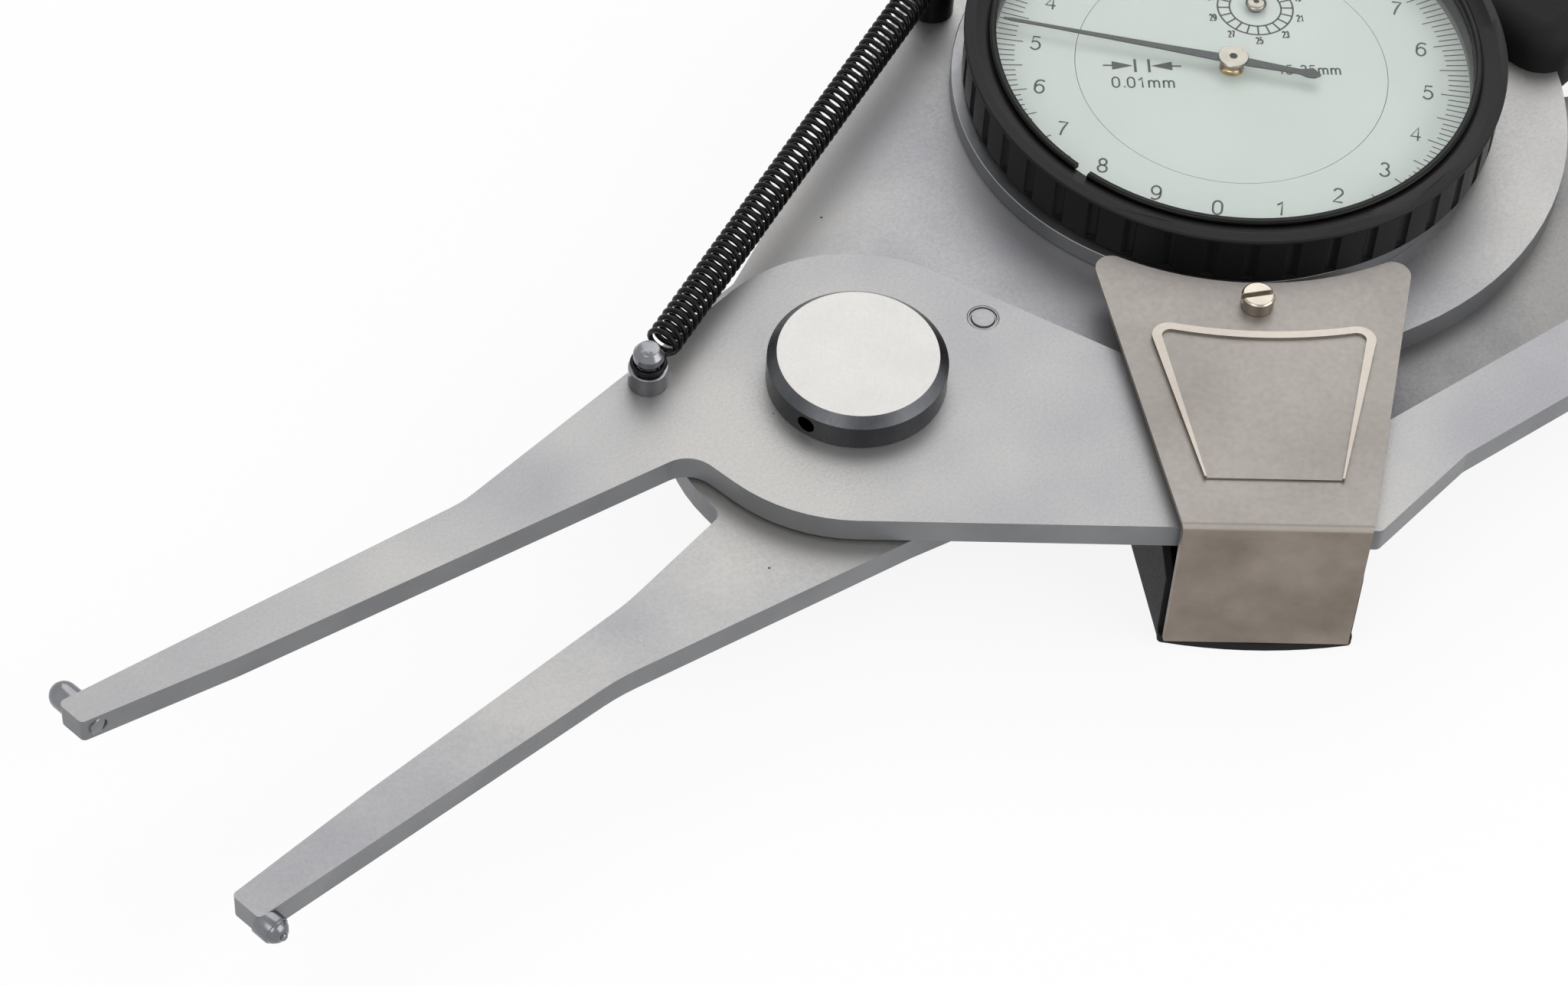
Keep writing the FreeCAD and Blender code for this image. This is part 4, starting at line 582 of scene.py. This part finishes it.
# Prints on the dial, a hair above the enamel, in mm and degrees


def middleOf(node):
    # the middle of a node's box
    low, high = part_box(node)
    return [(a + b) / 2 for a, b in zip(low, high)]


def onOval(angle, across, up):
    # the place at an angle in degrees on an oval about zero
    return across * math.cos(math.radians(angle)), up * math.sin(math.radians(angle))


def arc(x, y, across, up, start, end, step=18):
    # points on an oval about x, y
    steps = max(2, round(abs(end - start) / step))
    places = [onOval(start + (end - start) * count / steps, across, up) for count in range(steps + 1)]
    return [(x + right, y + rise) for right, rise in places]


inkFilm = {"lift": 0.012, "thick": 0.02}
scalePrint = {
    # rings of ticks: count, inner, outer, width
    "rings": [(200, 23.72, 26.0, 0.12), (40, 22.9, 23.72, 0.12)],
    "turn": -55.06, "numbers": 20, "numberReach": (21.5, 20.95), "height": 1.95, "line": 0.21,
}
legendPrint = {
    # texts: letters, height, widening, place
    "texts": [("0.01mm", 1.5, 1.01, (-9.85, -2.38)), ("15-35mm", 1.33, 0.97, (8.5, -0.2))],
    "turn": -45.9, "line": 0.18,
}
counterPrint = {
    "labels": ("25", "23", "21", "19", "17", "35", "33", "31", "29", "27"),
    "labelReach": 5.08, "height": 0.92, "narrow": 0.6,
    "inner": 2.86, "outer": 4.18, "ticks": 20, "overlap": 6,        # circles close over this many degrees
}
stepSign = {
    # the sign's right half: an upright bar, the head of an arrow that points at it and the arrow's shaft
    "middle": (-9.8, 0.16),
    "outlines": [[(0.62, -0.98), (0.9, -0.98), (0.9, 0.98), (0.62, 0.98)],
                 [(1.0, 0.0), (3.3, -0.64), (3.3, 0.64)],
                 [(3.2, -0.1), (4.3, -0.1), (4.3, 0.1), (3.2, 0.1)]],
}
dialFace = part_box("dial_disc")[1].z
inkLevel = dialFace + (inkFilm["lift"] + inkFilm["thick"] / 2) * mm
counterPlace = middleOf("rack_pinion")[:2]
letterGap = 0.14        # the bare end of a letter's advance
letters = {
    # advance, then the strokes of a letter one unit high
    "0": (0.74, [arc(0.3, 0.66, 0.25, 0.34, 0, 180) + arc(0.3, 0.34, 0.25, 0.34, 180, 360)
                 + [(0.55, 0.66)]]),
    "1": (0.74, [[(0.12, 0.74), (0.26, 0.85), (0.38, 1.0), (0.38, 0.0)]]),
    "2": (0.74, [arc(0.3, 0.73, 0.24, 0.27, 168, -38) + [(0.05, 0.0), (0.56, 0.0)]]),
    "3": (0.74, [arc(0.29, 0.76, 0.21, 0.24, 160, -70) + arc(0.29, 0.27, 0.26, 0.27, 70, -160)]),
    "4": (0.74, [[(0.43, 0.0), (0.43, 1.0), (0.03, 0.3), (0.58, 0.3)]]),
    "5": (0.74, [[(0.52, 1.0), (0.15, 1.0), (0.08, 0.5)] + arc(0.28, 0.33, 0.27, 0.33, 135, -150)]),
    "6": (0.74, [arc(0.36, 0.6, 0.31, 0.4, 52, 180) + arc(0.3, 0.32, 0.25, 0.32, 180, 540)]),
    "7": (0.74, [[(0.05, 1.0), (0.56, 1.0), (0.4, 0.7), (0.28, 0.36), (0.22, 0.0)]]),
    "8": (0.74, [arc(0.3, 0.76, 0.2, 0.24, -90, 270), arc(0.3, 0.26, 0.25, 0.26, 90, 450)]),
    "9": (0.74, [arc(0.24, 0.4, 0.31, 0.4, -128, 0) + arc(0.3, 0.68, 0.25, 0.32, 0, 360)]),
    ".": (0.36, [[(0.17, 0.0), (0.17, 0.11)]]),
    "-": (0.48, [[(0.07, 0.38), (0.38, 0.38)]]),
    "m": (1.06, [[(0.1, 0.0), (0.1, 0.72)],
                 [(0.1, 0.42)] + arc(0.29, 0.5, 0.18, 0.2, 165, 0) + [(0.47, 0.0)],
                 [(0.47, 0.42)] + arc(0.66, 0.5, 0.18, 0.2, 165, 0) + [(0.84, 0.0)]]),
}


def written(text, height, widen=1.0):
    # strokes of a line of text in millimetres, centred on its own middle
    strokes, reach = [], 0.0
    for letter in text:
        advance, shapes = letters[letter]
        strokes += [[((x + reach) * widen * height, y * height) for x, y in shape] for shape in shapes]
        reach += advance
    shift = (reach - letterGap) * widen * height / 2
    return [[(x - shift, y - height / 2) for x, y in stroke] for stroke in strokes]


def printedAt(strokes, place, turn, centre=(0.0, 0.0)):
    # strokes moved to a place of the print's own upright frame, then turned with it onto the dial
    spin = Matrix.Rotation(math.radians(turn), 2)
    points = [[spin @ Vector((x + place[0], y + place[1])) * mm for x, y in stroke] for stroke in strokes]
    return [[(point.x + centre[0], point.y + centre[1], inkLevel) for point in stroke] for stroke in points]


def inkValues(line):
    return {"Width": line * mm, "Thick": inkFilm["thick"] * mm, "Ink": finish["printedInk"]}


def makeScale():
    turn = scalePrint["turn"]
    ticks = newPiece("scaleTicks", bpy.data.meshes.new("scaleTicks"), "printedInk")
    for count, inner, outer, width in scalePrint["rings"]:
        values = inkValues(width)
        values.update({"Count": count, "Inner": inner * mm, "Outer": outer * mm,
                       "Centre": (0.0, 0.0, inkLevel), "Turn": math.radians(turn)})
        runTree(ticks, tickTree, values)
    placePiece(settle(ticks), "bezel")
    strokes = []        # the numbers 0 to 9, twice round
    for number in range(scalePrint["numbers"]):
        place = onOval(360 / scalePrint["numbers"] * number - 90, *scalePrint["numberReach"])
        strokes += printedAt(written(str(number % 10), scalePrint["height"]), place, turn)
    digits = sweptPiece("scaleDigits", strokes, ribbonTree, inkValues(scalePrint["line"]), "printedInk")
    placePiece(digits, "bezel")


def counterStrokes(turn):
    # the small dial: two circles, the ticks between them and its numbers
    inner, outer = counterPrint["inner"], counterPrint["outer"]
    overlap = counterPrint["overlap"]
    circles = [arc(0, 0, radius, radius, 0, 360 + overlap, overlap) for radius in (outer, inner)]
    ticks = [[onOval(360 / counterPrint["ticks"] * tick, radius, radius) for radius in (inner, outer)]
             for tick in range(counterPrint["ticks"])]
    strokes = printedAt(circles + ticks, (0, 0), turn, counterPlace)
    reach = counterPrint["labelReach"]
    for step, label in enumerate(counterPrint["labels"]):
        place = onOval(360 / len(counterPrint["labels"]) * step - 90, reach, reach)
        label = written(label, counterPrint["height"], counterPrint["narrow"])
        strokes += printedAt(label, place, turn, counterPlace)
    return strokes


def flatShape(work, corners, half):
    # the closed outline as a plate, half its thickness to either side
    under = [work.verts.new((*corner[:2], corner[2] - half)) for corner in corners]
    over = [work.verts.new((*corner[:2], corner[2] + half)) for corner in corners]
    work.faces.new(over)
    work.faces.new(under[::-1])
    for index in range(len(corners)):
        after = (index + 1) % len(corners)
        work.faces.new((under[index], under[after], over[after], over[index]))


def makeLegends():
    turn = legendPrint["turn"]
    strokes = counterStrokes(turn)
    for text, height, widen, place in legendPrint["texts"]:
        strokes += printedAt(written(text, height, widen), place, turn)
    legends = sweptPiece("dialLegends", strokes, ribbonTree, inkValues(legendPrint["line"]), "printedInk")
    placePiece(legends, "root")


def makeStepArrows():
    work = bmesh.new()
    for side in (-1, 1):
        for outline in stepSign["outlines"]:
            mirrored = [(x * side, y) for x, y in outline[::side]]
            corners = printedAt([mirrored], stepSign["middle"], legendPrint["turn"])[0]
            flatShape(work, corners, inkFilm["thick"] / 2 * mm)
    arrows = newPiece("stepArrows", meshFrom(work, "stepArrows"), "printedInk")
    placePiece(arrows, "root")


makeScale()
makeLegends()
makeStepArrows()
print("stage: dial printed")

# Springs

returnSpring = {
    "wire": 0.29, "sides": 10, "outer": 1.93, "turns": 57, "steps": 22,
    "level": 21.0, "first": 2.75,                   # height of its axis, and from a post to the first turn
    "hook": 1.66, "hookArc": (340, 20, -12),        # loop round a post: radius, then degrees from, to, step
    "lead": [(0.86, 0.5), (0.98, 0.22), (1, 0)],    # way into the coil: share of its radius, mm before it
}


def postTop(node):
    return Vector((*middleOf(node)[:2], returnSpring["level"] * mm))


def makeReturnSpring():
    start, end = postTop("spring_post_a"), postTop("spring_post_b")
    along = (end - start).normalized()
    up = Vector((0, 0, 1))
    across = along.cross(up)
    frameTurn = Matrix((up, across, along)).transposed()
    span = (end - start).length / mm
    radius = returnSpring["outer"] - returnSpring["wire"]
    hook, first = returnSpring["hook"], returnSpring["first"]
    loop = [(0.0, *onOval(angle, hook, hook)[::-1]) for angle in range(*returnSpring["hookArc"])]
    lead = [(0.0, radius * share, first - before) for share, before in returnSpring["lead"]]
    hooks = []
    for base, way in ((start, 1), (end, -1)):
        local = [Vector((x, y, z * way)) for x, y, z in loop + lead]
        hooks.append([base + frameTurn @ (point * mm) for point in local])
    facing = (frameTurn @ Matrix.Rotation(math.radians(90), 3, "Z")).to_euler()
    values = {"Turns": float(returnSpring["turns"]), "Steps": returnSpring["steps"], "Radius": radius * mm,
              "Length": (span - 2 * first) * mm, "Wire": returnSpring["wire"] * mm,
              "Sides": returnSpring["sides"], "Start": tuple(start + along * first * mm),
              "Facing": tuple(facing), "Metal": finish["blackenedSpringWire"]}
    piece = sweptPiece("returnSpring", hooks, coilTree, values, "blackenedSpringWire")
    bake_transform(piece)
    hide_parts("return_spring")


retainingRing = {
    "gapAt": 181.0, "gap": 3.6, "step": 3,          # degrees: the gap's middle, its width, between points
    "reach": 26.42, "width": 0.72,
}


def makeRetainingRing():
    # an open ring of flat spring wire above the crystal, its two ends close together
    low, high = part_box("retaining_ring")
    reach, halfGap = retainingRing["reach"], retainingRing["gap"] / 2
    start, end = retainingRing["gapAt"] + halfGap, retainingRing["gapAt"] - halfGap + 360
    points = [(x * mm, y * mm, (low.z + high.z) / 2)
              for x, y in arc(0, 0, reach, reach, start, end, retainingRing["step"])]
    values = {"Width": retainingRing["width"] * mm, "Thick": high.z - low.z,
              "Ink": finish["blackenedSpringWire"]}
    ring = sweptPiece("retainingRing", [points], ribbonTree, values, "blackenedSpringWire")
    placePiece(ring, "bezel", ["retaining_ring"])


makeReturnSpring()
makeRetainingRing()
print("stage: springs made")

# Hands

hands = {
    # axis is the hand's centre, side one side of its outline from tip to tail, in mm
    "main_hand": {"piece": "mainHand", "body": "centre_arbor", "turn": 120.5, "axis": (0.0, 0.0),
                  "side": [(25.4, 0.08), (24.4, 0.2), (21.0, 0.17), (7.8, 0.36), (1.7, 0.53), (-1.7, 0.55),
                           (-4.7, 0.42), (-7.4, 0.34), (-8.3, 0.62), (-9.1, 0.56), (-9.7, 0.06)]},
    "counter_hand": {"piece": "counterHand", "body": "counter_arbor", "turn": 31.0, "axis": counterPlace,
                     "side": [(3.9, 0.03), (3.2, 0.14), (0.9, 0.25), (0.6, 0.8), (-0.5, 0.8), (-1.0, 0.25)]},
}


def makeHand(node):
    hand = hands[node]
    low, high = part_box(node)
    outline = hand["side"] + [(along, -half) for along, half in reversed(hand["side"])]
    spin = Matrix.Rotation(math.radians(hand["turn"]), 2)
    axis = Vector(hand["axis"])
    corners = [(*(spin @ Vector(point) * mm + axis), (low.z + high.z) / 2) for point in outline[::-1]]
    work = bmesh.new()
    flatShape(work, corners, (high.z - low.z) / 2)
    piece = newPiece(hand["piece"], meshFrom(work, hand["piece"]), "lacqueredHand")
    placePiece(piece, hand["body"], [node])


for node in hands:
    makeHand(node)
print("stage: hands made")

# Turned pieces, each from an outline of radius and height in mm


def lathe(name, outline, steps, place, pose=None):
    # the outline runs from the axis round to the axis, or closes on itself; place is where its zero lies
    work = bmesh.new()
    rows = []
    for radius, height in outline:
        count = steps if radius else 1
        rows.append([work.verts.new((radius * mm * math.cos(math.tau * i / steps),
                                     radius * mm * math.sin(math.tau * i / steps), height * mm))
                     for i in range(count)])
    closed = len(rows[0]) > 1
    for low, high in zip(rows, rows[1:] + rows[:1] if closed else rows[1:]):
        for i in range(steps):
            j = (i + 1) % steps
            corners = [low[i % len(low)], low[j % len(low)], high[j % len(high)], high[i % len(high)]]
            work.faces.new(list(dict.fromkeys(corners)))
    bmesh.ops.recalc_face_normals(work, faces=work.faces)
    mesh = meshFrom(work, name)
    mesh.transform(Matrix.Translation(place) @ (pose or Matrix.Identity(4)))
    smoothBy(mesh)
    return mesh


handHub = {
    # a brass foot flared at the dial, then a nickel cone up to the hand
    "steps": 40, "nickelFrom": 0.62,
    "outline": [(0.53, 0.06), (1.35, 0.06), (1.35, 0.2), (1.1, 0.3), (0.88, 0.48), (0.84, 0.62),
                (0.9, 0.75), (1.32, 1.2), (0.53, 1.2)],
}


def makeHub():
    mesh = lathe("handHub", handHub["outline"], handHub["steps"], (0, 0, dialFace))
    hub = newPiece("handHub", mesh, "turnedBrass")
    finishWhere(hub, "polishedNickel", lambda face: face.center.z > dialFace + handHub["nickelFrom"] * mm)
    placePiece(hub, "centre_arbor", ["hand_hub"])


caps = {
    # foot is the level it stands on; socket and depth are the half width and depth of its key hole
    "hand_cap": {"piece": "handCap", "body": "centre_arbor", "foot": 20.4, "socket": 0.48, "depth": 0.3,
                 "outline": [(0, 0), (1.3, 0), (1.56, 0.1), (1.68, 0.22), (1.68, 0.36), (1.58, 0.47),
                             (0, 0.47)]},
    "counter_cap": {"piece": "counterCap", "body": "counter_arbor", "foot": 19.45, "socket": 0.36,
                    "depth": 0.25, "outline": [(0, 0), (1.0, 0), (1.17, 0.14), (1.17, 0.34), (1.08, 0.46),
                                               (0.82, 0.56), (0, 0.6)]},
}
capMaking = {
    "steps": 40, "socketSides": 6,
    "levelRoom": 0.01, "sideRoom": 1.05,            # mm and share within which a face is the key hole's
}


def makeCap(node):
    cap = caps[node]
    socket, depth, foot = cap["socket"], cap["depth"], cap["foot"]
    place = (*middleOf(node)[:2], foot * mm)
    top = cap["outline"][-1][1]
    piece = newPiece(cap["piece"], lathe(cap["piece"], cap["outline"], capMaking["steps"], place),
                     "polishedNickel")
    hole = [(0, top - depth), (socket, top - depth), (socket, top + depth), (0, top + depth)]
    key = newObject("socketKey", lathe("socketKey", hole, capMaking["socketSides"], place))
    cut = piece.modifiers.new("socket", "BOOLEAN")
    cut.object = key
    cut.solver = "EXACT"
    settle(piece)
    bpy.data.objects.remove(key)
    smoothBy(piece.data)
    lowest, highest = (foot + capMaking["levelRoom"]) * mm, (foot + top - capMaking["levelRoom"]) * mm
    reach = socket * capMaking["sideRoom"] * mm
    # the key hole's walls take the black wire finish as painted shade inside the hole
    finishWhere(piece, "blackenedSpringWire", lambda face: lowest < face.center.z < highest
                and math.dist(face.center[:2], place[:2]) < reach)
    placePiece(piece, cap["body"], [node])


pins = {
    # turn lays the pin's axis level; the outline runs from the ball end to the far end
    "contact_pin_a": {"piece": "contactPinA", "body": "lever", "turn": 90,
                      "outline": [(0, 0), (0.45, 0.07), (0.86, 0.27), (1.2, 0.6), (1.42, 1.02), (1.5, 1.5),
                                  (1.5, 3.1), (0.83, 3.1), (0.83, 5.9), (1.02, 6.0), (1.02, 6.5),
                                  (0.92, 6.58), (0, 6.58)]},
    "contact_pin_b": {"piece": "contactPinB", "body": "root", "turn": -90,
                      "outline": [(0, 0), (0.34, 0), (0.42, 0.1), (0.42, 0.24), (0.8, 0.34), (1.18, 0.74),
                                  (1.34, 1.06), (1.34, 1.12), (1.44, 1.16), (1.5, 1.3), (1.5, 3.0),
                                  (0.48, 3.0), (0.48, 6.1), (0.4, 6.2), (0, 6.2)]},
}
pinSteps = 48


def makePin(node):
    pin = pins[node]
    low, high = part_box(node)
    place = ((low.x + high.x) / 2, high.y if pin["turn"] > 0 else low.y, (low.z + high.z) / 2)
    pose = Matrix.Rotation(math.radians(pin["turn"]), 4, "X")
    mesh = lathe(pin["piece"], pin["outline"], pinSteps, place, pose)
    placePiece(newPiece(pin["piece"], mesh, "turnedBrightSteel"), pin["body"], [node])


stopPin = {
    # its head is riveted over: a rim, a ring groove and a low crown
    "steps": 40, "crownFrom": 6.15,
    "outline": [(0, 0), (1.69, 0), (1.69, 6.12), (1.62, 6.2), (1.5, 6.2), (1.42, 6.02), (1.3, 6.02),
                (1.2, 6.24), (0.9, 6.3), (0, 6.33)],
}


def makeStopPin():
    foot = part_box("stop_pin")[0].z / mm
    place = (*middleOf("stop_pin")[:2], foot * mm)
    pin = newPiece("stopPin", lathe("stopPin", stopPin["outline"], stopPin["steps"], place),
                   "turnedBrightSteel")
    finishWhere(pin, "satinBlastedSteel", lambda face: face.center.z > (foot + stopPin["crownFrom"]) * mm)
    placePiece(pin, "lever", ["stop_pin"])


makeHub()
for node in caps:
    makeCap(node)
for node in pins:
    makePin(node)
makeStopPin()
print("stage: turned pieces made")

# Camera, floor and light

view = {
    # the camera of the photograph, solved from the dial, the arms' edges and the pivot; metres, degrees
    "location": (-0.30253, -0.18967, 0.376781), "turn": (38.9772, -2.5324, -47.4799),
    "lens": 105.47, "sensor": 36.0, "nearest": 0.01,
}
studio = {
    # whiteShare is the plain white in the floor as the camera sees it, and the rest shows the shadow
    "floor": "#F2F2F2", "floorSize": 6.0, "whiteShare": 0.88, "worldStrength": 0.56, "white": "#FFFFFF",
    "lamps": [
        # side, watts, place, aim
        (1.5, 10.0, (0.85, 0.62, 1.15), (-0.02, 0.0, 0.0)),
        (0.8, 4.0, (-1.0, -0.2, 1.1), (-0.04, 0.0, 0.0)),
        (1.0, 7.0, (0.35, -1.0, 0.6), (0.0, 0.0, 0.0)),
    ],
}


def whiteBehind(tree, surface, share, whiteKind):
    # camera, mirror and glass rays see plain white, so metal and glass show the background
    path = addNode(tree, "ShaderNodeLightPath").outputs
    first = addNode(tree, "ShaderNodeMath", {0: path["Is Camera Ray"], 1: path["Is Glossy Ray"]},
                    operation="MAXIMUM")
    either = addNode(tree, "ShaderNodeMath", {0: first.outputs[0], 1: path["Is Transmission Ray"]},
                     operation="MAXIMUM")
    part = addNode(tree, "ShaderNodeMath", {0: either.outputs[0], 1: share}, operation="MULTIPLY")
    white = addNode(tree, whiteKind, {"Color": toLinear(studio["white"]), "Strength": 1.0})
    mix = addNode(tree, "ShaderNodeMixShader", {0: part.outputs[0], 1: surface, 2: white.outputs[0]})
    return mix.outputs[0]


def makeFloor():
    bpy.ops.mesh.primitive_plane_add(size=studio["floorSize"])
    floor = bpy.context.object
    floor.name = "studioFloor"
    material = bpy.data.materials.new("paleFloor")
    tree = clearedTree(material)
    card = addNode(tree, "ShaderNodeBsdfDiffuse", {"Color": toLinear(studio["floor"])})
    seen = whiteBehind(tree, card.outputs[0], studio["whiteShare"], "ShaderNodeEmission")
    addNode(tree, "ShaderNodeOutputMaterial", {"Surface": seen})
    floor.data.materials.append(material)


def makeWorld():
    world = bpy.data.worlds.new("studioWorld")
    tree = clearedTree(world)
    soft = addNode(tree, "ShaderNodeBackground", {
        "Color": toLinear(studio["white"]), "Strength": studio["worldStrength"]})
    seen = whiteBehind(tree, soft.outputs[0], 1.0, "ShaderNodeBackground")
    addNode(tree, "ShaderNodeOutputWorld", {"Surface": seen})
    bpy.context.scene.world = world


def makeLamps():
    for number, (side, power, place, aim) in enumerate(studio["lamps"]):
        data = bpy.data.lights.new("softLamp%d" % number, "AREA")
        data.size = side
        data.energy = power
        lamp = newObject(data.name, data)
        lamp.location = place
        lamp.rotation_euler = (Vector(aim) - Vector(place)).to_track_quat("-Z", "Y").to_euler()


def makeCamera():
    data = bpy.data.cameras.new("photoCamera")
    data.sensor_width = view["sensor"]
    data.lens = view["lens"]
    data.clip_start = view["nearest"]
    camera = newObject("photoCamera", data)
    camera.location = view["location"]
    camera.rotation_euler = [math.radians(angle) for angle in view["turn"]]
    bpy.context.scene.camera = camera


makeFloor()
makeWorld()
makeLamps()
makeCamera()
bpy.context.scene.view_settings.view_transform = "Standard"
print("stage: camera and studio set")
